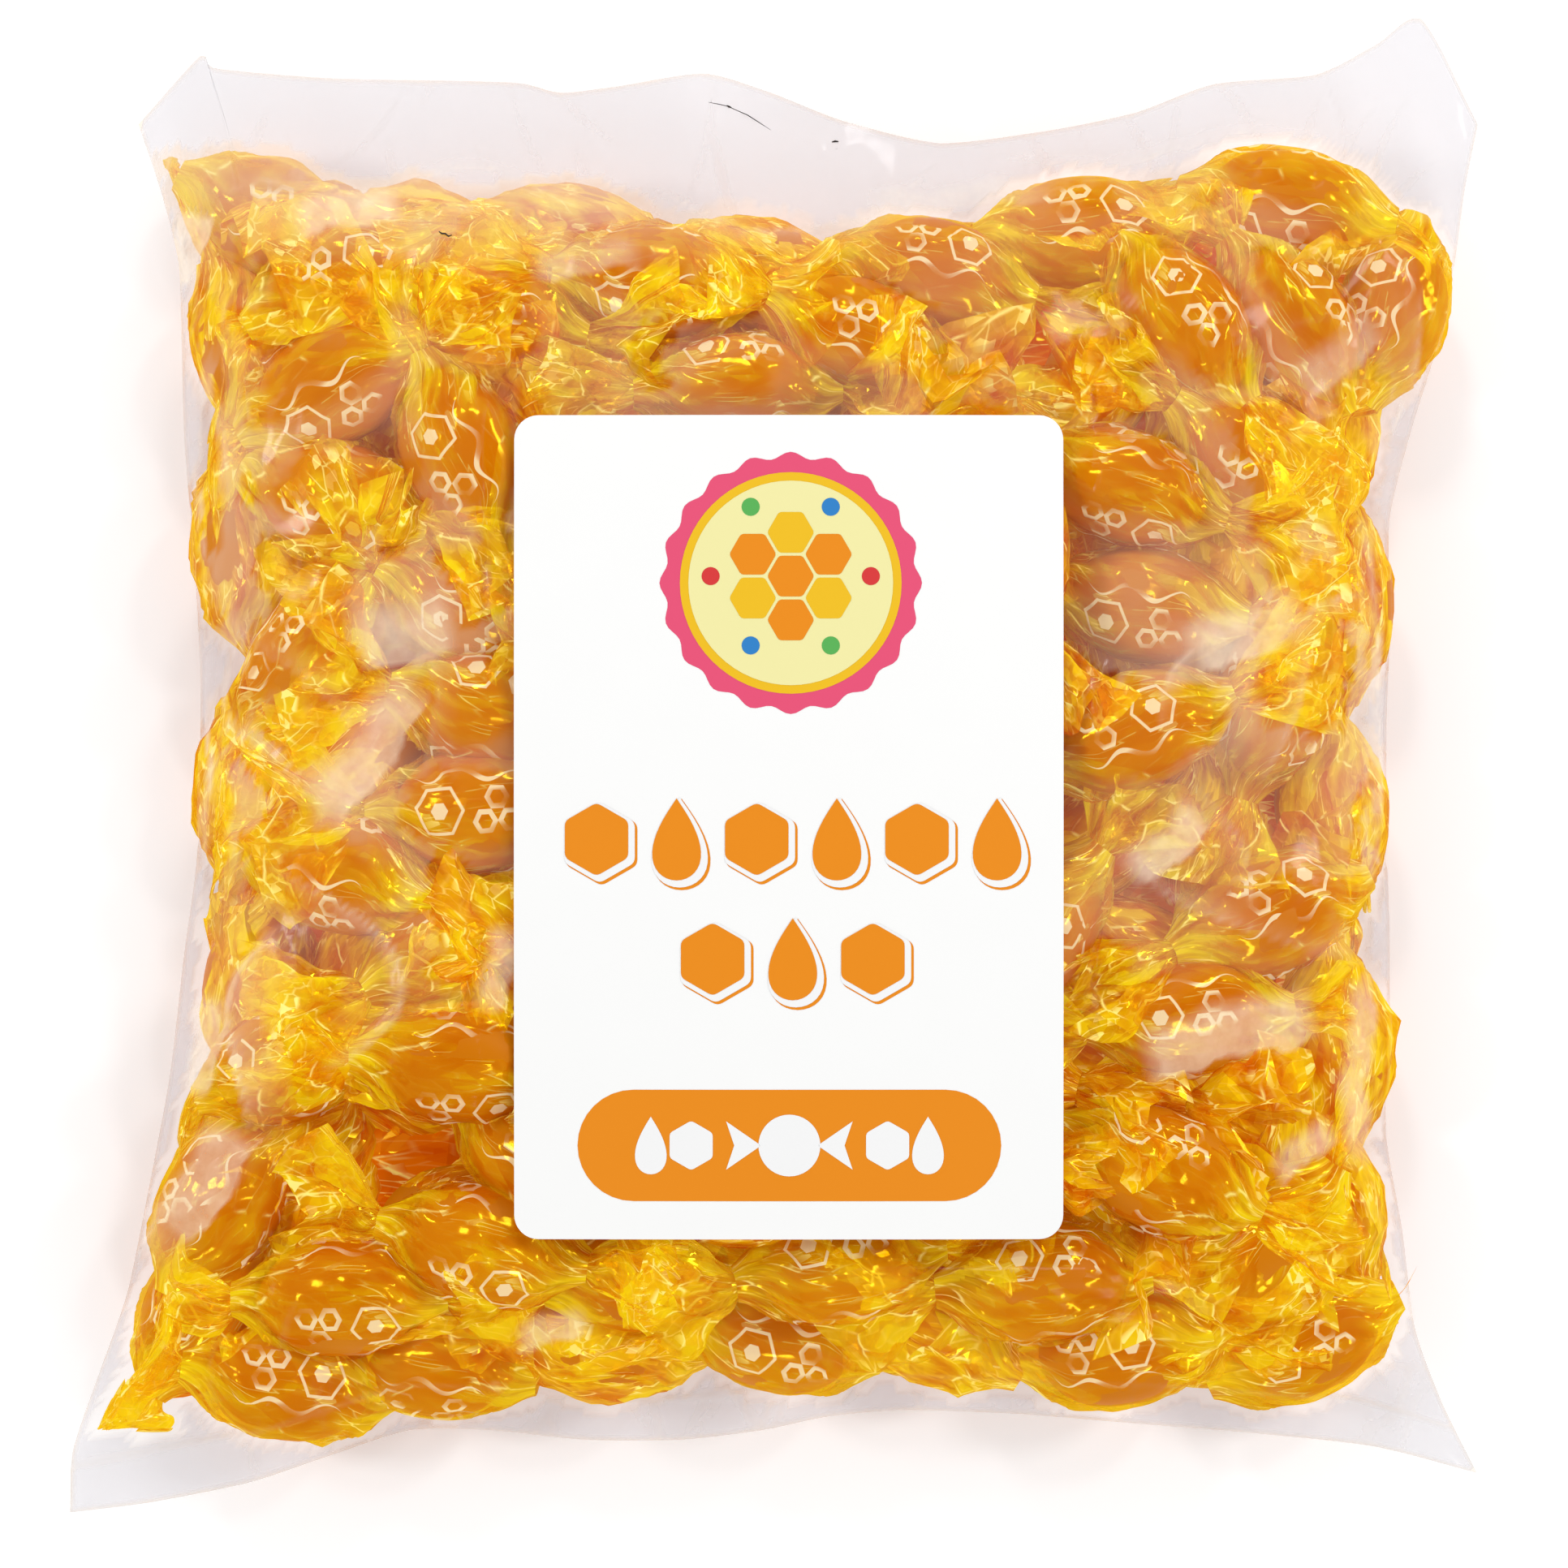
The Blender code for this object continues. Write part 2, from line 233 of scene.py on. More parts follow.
label = {
    "centre": ((labelLow.x + labelHigh.x) / 2 / mm, (labelLow.y + labelHigh.y) / 2 / mm),
    "width": (labelHigh.x - labelLow.x) / mm,
    "height": (labelHigh.y - labelLow.y) / mm,
    "top": labelHigh.z / mm,
    "thickness": 0.35,
    "corner": 3.6,
    "sagAcross": 1.6,
    "sagAlong": 2.4,
    "pressedMargin": 4.6,  # the label presses the film down this far round it
    "contentsBelow": 1.2,
}


def labelTop(x, y):
    across = (x - label["centre"][0]) / (label["width"] / 2)
    along = (y - label["centre"][1]) / (label["height"] / 2)
    return label["top"] - label["sagAcross"] * across**2 - label["sagAlong"] * along**2


def nearLabel(x, y, margin):
    inWidth = abs(x - label["centre"][0]) < label["width"] / 2 + margin
    return inWidth & (abs(y - label["centre"][1]) < label["height"] / 2 + margin)


def ceilingAt(x, y):
    # the highest that the contents may reach
    crown = bag["sideFold"] + (bag["crown"] - bag["sideFold"]) * swellAt(x, y)
    pressed = np.minimum(crown, labelTop(x, y) - label["contentsBelow"])
    return np.where(nearLabel(x, y, label["pressedMargin"]), pressed, crown)


def groundAt(x, y):
    # the lowest that the contents may reach
    return bag["offFloor"] + bag["sideFold"] * (1 - swellAt(x, y)) ** bag["footCurve"]


# Sweets: where they lie in the bag

sweetLayout = {
    # those that show best in front, as x, y, turn and depth below the front film
    "shown": [
        (-68, 75, 15, 2), (-46, 70, -10, 0), (-19, 73, -8, 2), (-47, 47, -65, 0), (-66, 58, 25, 2),
        (-67, 40, -15, 0), (-4, 58, 12, 0), (24, 75, -15, 0), (47, 80, 8, 1), (62, 66, -60, 2),
        (85, 66, -10, 1), (53, 42, -12, 0), (77, 48, -18, 2), (-69, 17, 58, 0), (-46, 21, -30, 4),
        (-44, -5, 8, 1), (-66, -14, -15, 0), (-47, -26, 30, 2), (-74, -43, 15, 1), (-47, -46, -10, 0),
        (-85, -71, 55, 2), (-64, -81, 8, 1), (-42, -72, -8, 1), (-54, -92, -10, 0), (-20, -79, 5, 2),
        (9, -75, 6, 1), (22, -88, -50, 2), (41, -78, 0, 0), (58, -60, -25, 1), (62, -37, 10, 1),
        (78, -22, 15, 2), (54, 5, 20, 0), (55, 24, -10, 3), (77, 12, 70, 2), (82, -72, 60, 3),
        (92, 77, -60, 2), (84, -87, 20, 3), (-62, 1, 40, 7), (-78, 84, -35, 3),
    ],
    # those along the sides, as x, y and turn
    "sides": [
        (-80, 62, 108), (-79, 33, 95), (-78, -2, 85), (-83, -34, 75), (-89, -78, 75),
        (92, 46, 80), (86, 28, 90), (85, -8, 90), (86, -44, 95), (90, -66, 100),
    ],
    "underLabel": (4, 3, 30.0, 33.0),  # rows, columns and their steps
    "behind": (8, 6, 24.0, 30.5),
    "behindMiddle": -4.0,
    "stagger": 0.25,  # share of a step by which each row is shifted
    "jitter": 3.0,
    "edgeFill": 6,
    "edgeReach": (74, 80),
    # depth below the front film, and how firmly each keeps its place
    "sideDepth": (10.0, 1.0),
    "labelDepth": (1.0, 0.3),
    "behindDepth": (19.0, 0.0),
    "edgeDepth": (9.0, 0.0),
    "lowest": 8.5,
    "lean": 0.12,
    "roll": 0.32,
    "sizes": (0.96, 1.04),
    # each sweet is a row of balls while they settle
    "along": (-25.0, -18.5, -8.0, 0.0, 8.0, 18.5, 25.0),
    "radii": (3.2, 2.8, 6.6, 8.3, 6.6, 2.8, 3.2),
    "weights": (0.15, 0.3, 1.0, 1.4, 1.0, 0.3, 0.15),
    "smallBall": 4.0,  # the balls of the twisted ends are smaller than this, and give way
    "smallGive": 0.45,
    "smallApart": 0.8,
    "rounds": 260,
    "step": 0.55,
    "longestStep": 1.6,
    "thinBy": 4.0,  # where the bag is thinner than a ball by this much, the ball moves inward by the next
    "inward": 1.2,
    "sideGap": 0.7,
    "endGap": (0.9, 0.6),  # share of a ball's radius, and mm
    "pull": 0.09,
}


def eased(value, low, high, give):
    # a limit that is reached gently, over the last stretch before it
    beyond = np.maximum(value - high + give, 0)
    value = np.where(value > high - give, high - give * np.exp(-beyond / give), value)
    return np.where(value < low + give, low + give * np.exp(-np.maximum(low + give - value, 0) / give), value)


def gapDepth(name, place):
    return sum(depth * np.exp(-(((place - middle) / half) ** 2)) for middle, half, depth in bag[name])


def betweenEdges(points, sideGap, endGap, give=0.01):
    # keeps points inside the film's side folds and where the contents end, seen from above
    points = points.copy()
    x, y = points[:, 0], points[:, 1]
    left = np.interp(y, leftEdge[:, 1], leftEdge[:, 0]) + gapDepth("leftGaps", y)
    right = np.interp(y, rightEdge[:, 1], rightEdge[:, 0]) - gapDepth("rightGaps", y)
    points[:, 0] = eased(x, left + sideGap, right - sideGap, give)
    bottom = np.interp(x, contentsBottom[:, 0], contentsBottom[:, 1]) + gapDepth("bottomGaps", x)
    top = np.interp(x, contentsTop[:, 0], contentsTop[:, 1]) - gapDepth("topGaps", x)
    points[:, 1] = eased(y, bottom + endGap, top - endGap, give)
    return points


def staggered(rows, columns, rowStep, columnStep, middleY):
    jitter = sweetLayout["jitter"]
    for row in range(rows):
        for column in range(columns):
            shift = sweetLayout["stagger"] * (1 if row % 2 else -1)
            x = (column - (columns - 1) / 2 + shift) * columnStep
            y = (row - (rows - 1) / 2) * rowStep + middleY
            yield x + dice.uniform(-jitter, jitter), y + dice.uniform(-jitter, jitter)


def firstPlaces():
    # centre, turn, depth and hold of every sweet before they settle
    layout = sweetLayout
    rows = [(x, y, turn, depth, 1.0) for x, y, turn, depth in layout["shown"]]
    rows += [(x, y, turn, *layout["sideDepth"]) for x, y, turn in layout["sides"]]
    for x, y in staggered(*layout["underLabel"], label["centre"][1]):
        rows.append((x, y, dice.uniform(0, 180), *layout["labelDepth"]))
    for x, y in staggered(*layout["behind"], layout["behindMiddle"]):
        rows.append((x, y, dice.uniform(0, 180), *layout["behindDepth"]))
    reachX, reachY = layout["edgeReach"]
    for _ in range(layout["edgeFill"]):
        angle = dice.uniform(0, 2 * math.pi)
        x, y = reachX * math.cos(angle), reachY * math.sin(angle)
        rows.append((x, y, dice.uniform(0, 180), *layout["edgeDepth"]))
    return np.array(rows)


def unit(vectors):
    return vectors / np.linalg.norm(vectors, axis=1)[:, None]


def pushedApart(spots, apart, soft):
    # one step of the balls away from each other, and the deepest overlap before it
    squares = (spots**2).sum(1)
    distance = np.sqrt(np.maximum(squares[:, None] + squares[None] - 2 * spots @ spots.T, 1e-6))
    overlap = np.where(distance < apart, apart - distance, 0.0)
    share = 0.5 * overlap / distance * soft[None]
    move = spots * share.sum(1)[:, None] - share @ spots
    longest = sweetLayout["longestStep"]
    return spots + np.clip(sweetLayout["step"] * move, -longest, longest), overlap.max()


def pressedIn(spots, reach):
    # keeps the balls between the front and the back of the bag and inside its edges
    layout = sweetLayout
    top = ceilingAt(spots[:, 0], spots[:, 1]) - reach
    ground = groundAt(spots[:, 0], spots[:, 1]) + reach
    across, along = roomAt(spots[:, 0], spots[:, 1])
    tight = np.clip((ground - top) / layout["thinBy"], 0, 1)
    spots[:, 0] -= np.sign(across) * np.where(abs(across) >= abs(along), tight, 0) * layout["inward"]
    spots[:, 1] -= np.sign(along) * np.where(abs(along) > abs(across), tight, 0) * layout["inward"]
    spots[:, 2] = np.where(top < ground, (top + ground) / 2, np.clip(spots[:, 2], ground, top))
    share, gap = layout["endGap"]
    return betweenEdges(spots, reach + layout["sideGap"], share * reach + gap)


def settleSweets():
    # pushes the sweets apart and into the bag until they lie against each other
    layout, rows = sweetLayout, firstPlaces()
    along, radii, weights = (np.array(layout[name]) for name in ("along", "radii", "weights"))
    x, y, turn, depth, hold = rows.T
    turn = np.radians(turn)
    count, balls = len(rows), len(along)
    height = np.maximum(ceilingAt(x, y) - depth - radii.max(), layout["lowest"])
    middle = np.column_stack([x, y, height])
    lean = dice.uniform(-layout["lean"], layout["lean"], count)
    way = unit(np.column_stack([np.cos(turn), np.sin(turn), lean]))
    wantedMiddle, wantedWay = middle.copy(), way.copy()
    owner = np.repeat(np.arange(count), balls)
    reach = np.tile(radii, count)
    soft = np.where(reach < layout["smallBall"], layout["smallGive"], 1.0)
    closer = np.where(soft[:, None] * soft[None] < 1, layout["smallApart"], 1.0)
    apart = (reach[:, None] + reach[None]) * closer * (owner[:, None] != owner[None])
    for _ in range(layout["rounds"]):
        spots = (middle[:, None] + way[:, None] * along[None, :, None]).reshape(-1, 3)
        spots, deepest = pushedApart(spots, apart, soft)
        spots = pressedIn(spots, reach).reshape(count, balls, 3)
        middle = (spots * weights[None, :, None]).sum(1) / weights.sum()
        way = unit(((spots - middle[:, None]) * (weights * along)[None, :, None]).sum(1))
        pull = layout["pull"] * hold[:, None]
        middle += (wantedMiddle - middle) * pull
        way = unit(way + (wantedWay - way) * pull)
    print(f"sweets settled: {count}, deepest overlap left {deepest:.1f} mm")
    return middle, way


sweetMiddle, sweetWay = settleSweets()
sweetRoll = dice.normal(0, sweetLayout["roll"], len(sweetMiddle))
sweetSize = dice.uniform(*sweetLayout["sizes"], len(sweetMiddle))


def placed(index, points):
    # points along, across and above one sweet, moved to where it lies
    way = sweetWay[index]
    beside = np.cross([0, 0, 1], way)
    beside /= np.linalg.norm(beside)
    above = np.cross(way, beside)
    cos, sin = math.cos(sweetRoll[index]), math.sin(sweetRoll[index])
    axes = np.array([way, beside * cos + above * sin, above * cos - beside * sin])
    return sweetMiddle[index] + np.asarray(points) @ axes


# Sweet: a boiled sugar lozenge with blunt tips

sweet = {
    "halfLength": 12.6,
    "halfWidth": 8.5,
    "halfHeight": 7.3,
    "outline": (2.6, 0.72),  # how full the sides and how blunt the tips are
    "tip": 0.25,
    "squareness": 0.92,
    "lumps": 0.03,
    "rings": 17,
    "sides": 24,
}


def sweetHalfWidth(x, half):
    full, blunt = sweet["outline"]
    return half * (1 - np.clip(abs(x) / sweet["halfLength"], 0, 1) ** full) ** blunt


def squarer(wave):
    return np.sign(wave) * abs(wave) ** sweet["squareness"]


def makeSweets(material):
    points, faces = [], []
    u = np.linspace(0.0, math.pi, sweet["rings"])[:, None]
    angle = np.linspace(0, 2 * math.pi, sweet["sides"], endpoint=False)[None]
    x = -np.cos(u) * sweet["halfLength"]
    y = (sweetHalfWidth(x, sweet["halfWidth"]) + sweet["tip"]) * squarer(np.cos(angle))
    z = (sweetHalfWidth(x, sweet["halfHeight"]) + sweet["tip"]) * squarer(np.sin(angle))
    for index, size in enumerate(sweetSize):
        bulge = 1 + sweet["lumps"] * np.cos(3 * angle + dice.uniform(0, 6)) * np.sin(u)
        grid = np.stack([x + 0 * angle, y * bulge, z * bulge], -1) * size
        points.append(placed(index, grid.reshape(-1, 3)))
        faces.append(gridFaces(sweet["rings"], sweet["sides"], True, index * angle.size * u.size))
    return addPiece("honey_sweets", np.vstack(points), np.vstack(faces), material)


# Wrap: a sleeve of yellow cellophane round each sweet, gathered into a twisted neck at both ends

wrap = {
    "girth": 51.0,  # of the flat sheet, round the sweet
    "slack": 0.45,
    "closest": 0.25,
    "shoulderAt": 9.0,
    "neckAt": 16.2,
    "neckRadius": 1.9,
    "gatherFrom": 6.0,
    "ringSpread": 0.88,  # under 1 the rings lie closer together at the necks
    "coneBow": 1.05,
    "twist": 0.7,
    "pleats": (8, 12),
    "pleatHeight": 1.35,
    "pleatUneven": 0.14,
    "crumple": 0.46,
    "facets": (8, 12),  # coarse cells of the crumpling, along and around
    "creases": {  # long sharp folds on each sleeve
        "count": 16,
        "reach": 12.0,
        "lean": 0.5,
        "half": (4, 11),
        "width": (1.1, 1.8),
        "height": (0.3, 0.9),
        "ways": (1, 1, -0.6),
    },
    "lap": 0.45,  # how far the sheet's free edge stands up
    "lapWidth": 14.0,
    "lapWithin": 50.0,
    # how strong the painted highlight on each sleeve's ridges is
    "ridgeHighlights": (0.5, 1.0),
    "markSpread": 4.0,
    "markShift": 2.0,
    "offFloor": 0.3,
    "labelMargin": 1.5,
    "labelGap": 0.3,
    "rimFrom": 0.72,  # from here out to the bag's edge the wraps are painted yellower, as light shining through where no sweet lies behind
    "rimOver": 0.2,
    "showsWithin": 13.0,  # a sweet whose middle is this close to the front film shows
    "showsUnder": -6.0,  # and isn't further than this under the label's edge
    "near": {"rings": 39, "sides": 56, "fanRings": 23, "fanSides": 60},  # sweets that show
    "deep": {"rings": 19, "sides": 26, "fanRings": 9, "fanSides": 30},  # sweets below them
    "sharpFrom": 24,  # degrees between two faces of a sleeve
}


def foldWave(turns):
    # a sharp fold: 0 in the valleys and 1 on the ridges, straight between them
    return abs(((turns % 1) * 2) - 1)


def crumpled(rings, sides, ringStep, sideStep, parts=1):
    # flat facets between random heights on a coarse net, as cellophane creases; it closes round the sides
    coarse = dice.normal(0, 1, (rings // ringStep + 2, sides // sideStep + 1, parts))
    coarse[:, -1] = coarse[:, 0]
    row = np.linspace(0, rings // ringStep, rings)
    column = np.linspace(0, sides // sideStep, sides + 1)[:-1]
    lowRow, lowColumn = row.astype(int), column.astype(int)
    a, b = (row - lowRow)[:, None, None], (column - lowColumn)[None, :, None]
    near, far = coarse[lowRow], coarse[lowRow + 1]
    # each coarse square is two flat triangles
    nextColumn = lowColumn + 1
    lower = near[:, lowColumn] * (1 - a - b) + far[:, lowColumn] * a + near[:, nextColumn] * b
    upper = far[:, nextColumn] * (a + b - 1) + far[:, lowColumn] * (1 - b) + near[:, nextColumn] * (1 - a)
    return np.where(a + b < 1, lower, upper)


def longCreases(x, arc):
    # straight sharp folds that run mostly along the sweet
    crease, girth = wrap["creases"], wrap["girth"]
    field = 0 * x + 0 * arc
    for _ in range(crease["count"]):
        middle, place = dice.uniform(-crease["reach"], crease["reach"]), dice.uniform(0, girth)
        lean, half = dice.normal(0, crease["lean"]), dice.uniform(*crease["half"])
        width = dice.uniform(*crease["width"])
        height = dice.uniform(*crease["height"]) * dice.choice(crease["ways"])
        side = (arc - place + girth / 2) % girth - girth / 2
        along = (x - middle) * math.cos(lean) + side * math.sin(lean)
        across = side * math.cos(lean) - (x - middle) * math.sin(lean)
        fade = np.clip(1 - (along / half) ** 2, 0, 1)
        field = field + height * np.clip(1 - abs(across) / width, 0, 1) * fade
    return field


def belowLabel(points):
    # the wraps stay under the label and off the floor
    x, y = points[:, 0], points[:, 1]
    under = labelTop(x, y) - label["thickness"] - wrap["labelGap"]
    top = np.where(nearLabel(x, y, wrap["labelMargin"]), under, bag["crown"])
    points[:, 2] = np.clip(points[:, 2], wrap["offFloor"], top)
    return points


def makeSleeves(sweets, fineness):
    points, faces, sheet, ridgeHighlights = [], [], [], []
    rings, sides, girth = fineness["rings"], fineness["sides"], wrap["girth"]
    ringStep, sideStep = rings // wrap["facets"][0], sides // wrap["facets"][1]
    spread = np.linspace(-1, 1, rings)
    x = (np.sign(spread) * abs(spread) ** wrap["ringSpread"] * wrap["neckAt"])[:, None]
    angle = np.linspace(0, 2 * math.pi, sides, endpoint=False)[None]
    arc = angle / (2 * math.pi) * girth
    shoulder = sweetHalfWidth(wrap["shoulderAt"], 1.0)
    gather = easeIn((abs(x) - wrap["gatherFrom"]) / (wrap["neckAt"] - wrap["gatherFrom"]))
    cone = np.clip((wrap["neckAt"] - abs(x)) / (wrap["neckAt"] - wrap["shoulderAt"]), 0, 1) ** wrap["coneBow"]
    markMiddle = girth / 6  # the print repeats three times round the sweet
    for place, index in enumerate(sweets):
        turned = angle + np.sign(x) * wrap["twist"] * gather
        uneven = dice.uniform(0, 1) + wrap["pleatUneven"] * np.sin(2 * turned + dice.uniform(0, 6))
        fold = foldWave(dice.integers(*wrap["pleats"]) * turned / (2 * math.pi) + uneven)
        pleat = wrap["pleatHeight"] * np.sin(math.pi * gather**0.7) * fold
        facets = crumpled(rings, sides, ringStep, sideStep)[..., 0]
        crumple = wrap["crumple"] * np.maximum(facets + 0.5, 0) * (0.6 + 0.6 * np.sin(math.pi * gather))
        creases = longCreases(x, arc) * (1 - gather**2)
        fromEdge = (arc - dice.uniform(0, wrap["lapWithin"])) % girth
        lap = wrap["lap"] * np.clip(1 - fromEdge / wrap["lapWidth"], 0, 1) * (1 - gather)
        stand = np.maximum(wrap["slack"] + pleat + crumple + creases + lap, wrap["closest"])
        reach = []
        for half in (sweet["halfWidth"], sweet["halfHeight"]):
            tent = wrap["neckRadius"] + (half * shoulder - wrap["neckRadius"]) * cone
            reach.append(np.maximum(sweetHalfWidth(x, half), tent) + stand)
        grid = np.stack([x + 0 * angle, reach[0] * np.cos(turned), reach[1] * np.sin(turned)], -1)
        points.append(placed(index, grid.reshape(-1, 3) * sweetSize[index]))
        faces.append(gridFaces(rings, sides, True, place * rings * sides))
        around = arc - markMiddle / 2 + dice.normal(0, wrap["markSpread"]) + 0 * x
        upright = dice.choice((-1, 1))  # half of the wraps have their print upside down
        along = x + dice.uniform(-wrap["markShift"], wrap["markShift"]) + 0 * angle
        drawn = np.stack([along, around - markMiddle], -1) * upright
        sheet.append((drawn + [0, markMiddle]).reshape(-1, 2))
        # a painted highlight on the sharp creases and on the pleats' ridges at the necks
        ridge = np.clip(creases * 1.6 - 0.2, 0, 1) + fold**4 * gather * (1.6 - gather)
        ridgeHighlights.append((ridge * dice.uniform(*wrap["ridgeHighlights"])).ravel())
    return belowLabel(np.vstack(points)), np.vstack(faces), np.vstack(sheet), np.concatenate(ridgeHighlights)


# Twisted ends: the pleated and crumpled fans of cellophane beyond the necks

fan = {
    "length": (14.0, 20.0),
    "spread": (40, 60),  # degrees from the neck's line
    "folds": (3, 6),
    "foldUneven": (0.12, 0.05),
    "ragged": 0.16,
    "flat": (0.3, 0.65),
    "spin": 0.8,
    "bend": 0.35,
    "crumple": 0.75,
    "uneven": (0.7, 1.3),
    "fine": 0.3,
    "girth": 40.0,
    "ridgeHighlights": (0.3, 0.9),
    "edgeGaps": (0.8, 0.2),
    "give": 6.0,  # over this they bunch up against the bag's edges
    "inFront": 15.0,  # the ends of sweets whose middle is higher than this are pushed up by the next
    "pushUp": 11.0,
    "pushDown": -1.0,
    "clearRadius": 8.6,
    "clearGap": 1.0,
    "neighbours": 13,
    "softenings": 6,
    "softening": (0.4, 0.15),  # shares of a point's own push and of each push beside it
}


def outOfSweets(index, points):
    # cellophane lies over the neighbouring sweets, not through them; in front it is pushed up to the film
    points = points.copy()
    inFront = sweetMiddle[index, 2] > fan["inFront"]
    upward = np.array([0, 0, fan["pushUp"] if inFront else fan["pushDown"]])
    nearest = np.argsort(((sweetMiddle - sweetMiddle[index]) ** 2).sum(1))
    for other in nearest[1:fan["neighbours"] + 1]:
        way = sweetWay[other]
        offset = points - sweetMiddle[other]
        along = offset @ way
        side = offset - along[:, None] * way
        room = sweetHalfWidth(along, fan["clearRadius"]) + fan["clearGap"]
        distance = np.linalg.norm(side, axis=1)
        inside = (distance < room) & (abs(along) < sweet["halfLength"])
        outward = side[inside] + upward
        outward /= np.maximum(np.linalg.norm(outward, axis=1), 0.3)[:, None]
        points[inside] += outward * (room - distance)[inside][:, None]
    return points


def insideBag(points):
    points = betweenEdges(points, *fan["edgeGaps"], fan["give"])
    ceiling, ground = ceilingAt(points[:, 0], points[:, 1]), groundAt(points[:, 0], points[:, 1])
    kept = np.clip(points[:, 2], ground, ceiling)
    points[:, 2] = np.where(ceiling < ground + 1, (ceiling + ground) / 2, kept)
    return points


def softened(shift, rings, sides):
    # evens out how far a sheet has been pushed, with its neck held
    shift = shift.reshape(rings, sides, 3).copy()
    own, others = fan["softening"]
    for _ in range(fan["softenings"]):
        padded = np.concatenate([shift[:1], shift, shift[-1:]])
        beside = np.roll(shift, 1, 1) + np.roll(shift, -1, 1)
        shift = own * shift + others * (padded[:-2] + padded[2:] + beside)
        shift[0] = 0
    return shift.reshape(-1, 3)


def makeFans(side, sweets, fineness):
    # the twisted ends on one side of each sweet
    points, faces, sheet, ridgeHighlights = [], [], [], []
    rings, sides = fineness["fanRings"], fineness["fanSides"]
    coarse, fine = (max(rings // 3, 2), sides // 12, 3), (max(rings // 7, 1), sides // 20, 3)
    v = np.linspace(0, 1, rings)[:, None]
    angle = np.linspace(0, 2 * math.pi, sides, endpoint=False)[None]
    wide, narrow = fan["foldUneven"]
    for place, index in enumerate(sweets):
        size = sweetSize[index]
        folds = dice.integers(*fan["folds"])
        uneven = dice.uniform(0, 1) + wide * np.sin(angle + dice.uniform(0, 6)) + narrow * np.sin(3 * angle)
        fold = foldWave(folds * angle / (2 * math.pi) + uneven)
        spread = math.radians(dice.uniform(*fan["spread"])) * (0.3 + 0.7 * fold)
        teeth = foldWave(angle / (2 * math.pi) * 3 + dice.uniform(0, 1)) - 0.5
        out = dice.uniform(*fan["length"]) * v * (1 + fan["ragged"] * teeth)
        radius = wrap["neckRadius"] + wrap["slack"] + out * np.sin(spread)
        flat = 1 - dice.uniform(*fan["flat"]) * easeIn(v * 2)
        across, above = radius * np.cos(angle), radius * flat * np.sin(angle)
        spin = dice.uniform(-fan["spin"], fan["spin"])
        cos, sin = math.cos(spin), math.sin(spin)
        across, above = across * cos - above * sin, across * sin + above * cos
        bend = dice.uniform(0.0, fan["bend"]) * v * out
        bendWay = dice.uniform(0, 2 * math.pi)
        along = side * (wrap["neckAt"] + out * np.cos(spread))
        across, above = across + bend * math.cos(bendWay), above + bend * math.sin(bendWay)
        smooth = np.stack([along, across, above], -1)
        facets = crumpled(rings, sides, *coarse)
        facets = facets + fan["fine"] * crumpled(rings, sides, *fine)
        crumple = fan["crumple"] * dice.uniform(*fan["uneven"])
        rough = smooth + crumple * facets * np.minimum(v * 2.2, 1)[..., None]
        base = placed(index, smooth.reshape(-1, 3) * size)
        shift = softened(insideBag(outOfSweets(index, base)) - base, rings, sides)
        moved = placed(index, rough.reshape(-1, 3) * size) + shift
        moved[sides:] = insideBag(moved[sides:])
        points.append(moved)
        faces.append(gridFaces(rings, sides, True, place * rings * sides))
        around = angle / (2 * math.pi) * fan["girth"] + 0 * out
        sheet.append(np.stack([out, around], -1).reshape(-1, 2))
        # a painted highlight on the fans' fold ridges
        ridgeHighlights.append((fold**5 * (0.4 + 0.6 * v) * dice.uniform(*fan["ridgeHighlights"])).ravel())
    return belowLabel(np.vstack(points)), np.vstack(faces), np.vstack(sheet), np.concatenate(ridgeHighlights)


# Bed: the layer of crumpled wraps deep in the bag, which shows between the sweets; its deep orange-red tones
# are painted shade of the crevices, and its glow is painted light

bed = {
    "height": 11.0,
    "cells": (72, 81),
    "gaps": (9.0, 7.0),  # from the bag's sides and from where its contents end
    "crumple": 2.2,
    "facet": 3,  # cells to a facet
    "clearances": (2.0, 3.0),  # over the bag's back and under its front
    "sheetScale": 0.5,
}


def makeBed(material):
    plan = bagPlan(*bed["cells"])
    rows, columns = plan.shape[:2]
    inner = betweenEdges(plan.reshape(-1, 2), *bed["gaps"])
    x, y = inner.T
    facets = crumpled(rows, columns, bed["facet"], bed["facet"])[..., 0].ravel()
    over, under = bed["clearances"]
    height = bed["height"] + bed["crumple"] * facets
    height = np.clip(height, groundAt(x, y) + over, ceilingAt(x, y) - under)
    points = np.column_stack([inner, height])
    piece = addPiece("wrap_bed", points, gridFaces(rows, columns), material, inner * bed["sheetScale"], True)
    rideOnRoot(piece, "bag", clear=True)


# Film: drawn tight over the wraps from the seals and side folds

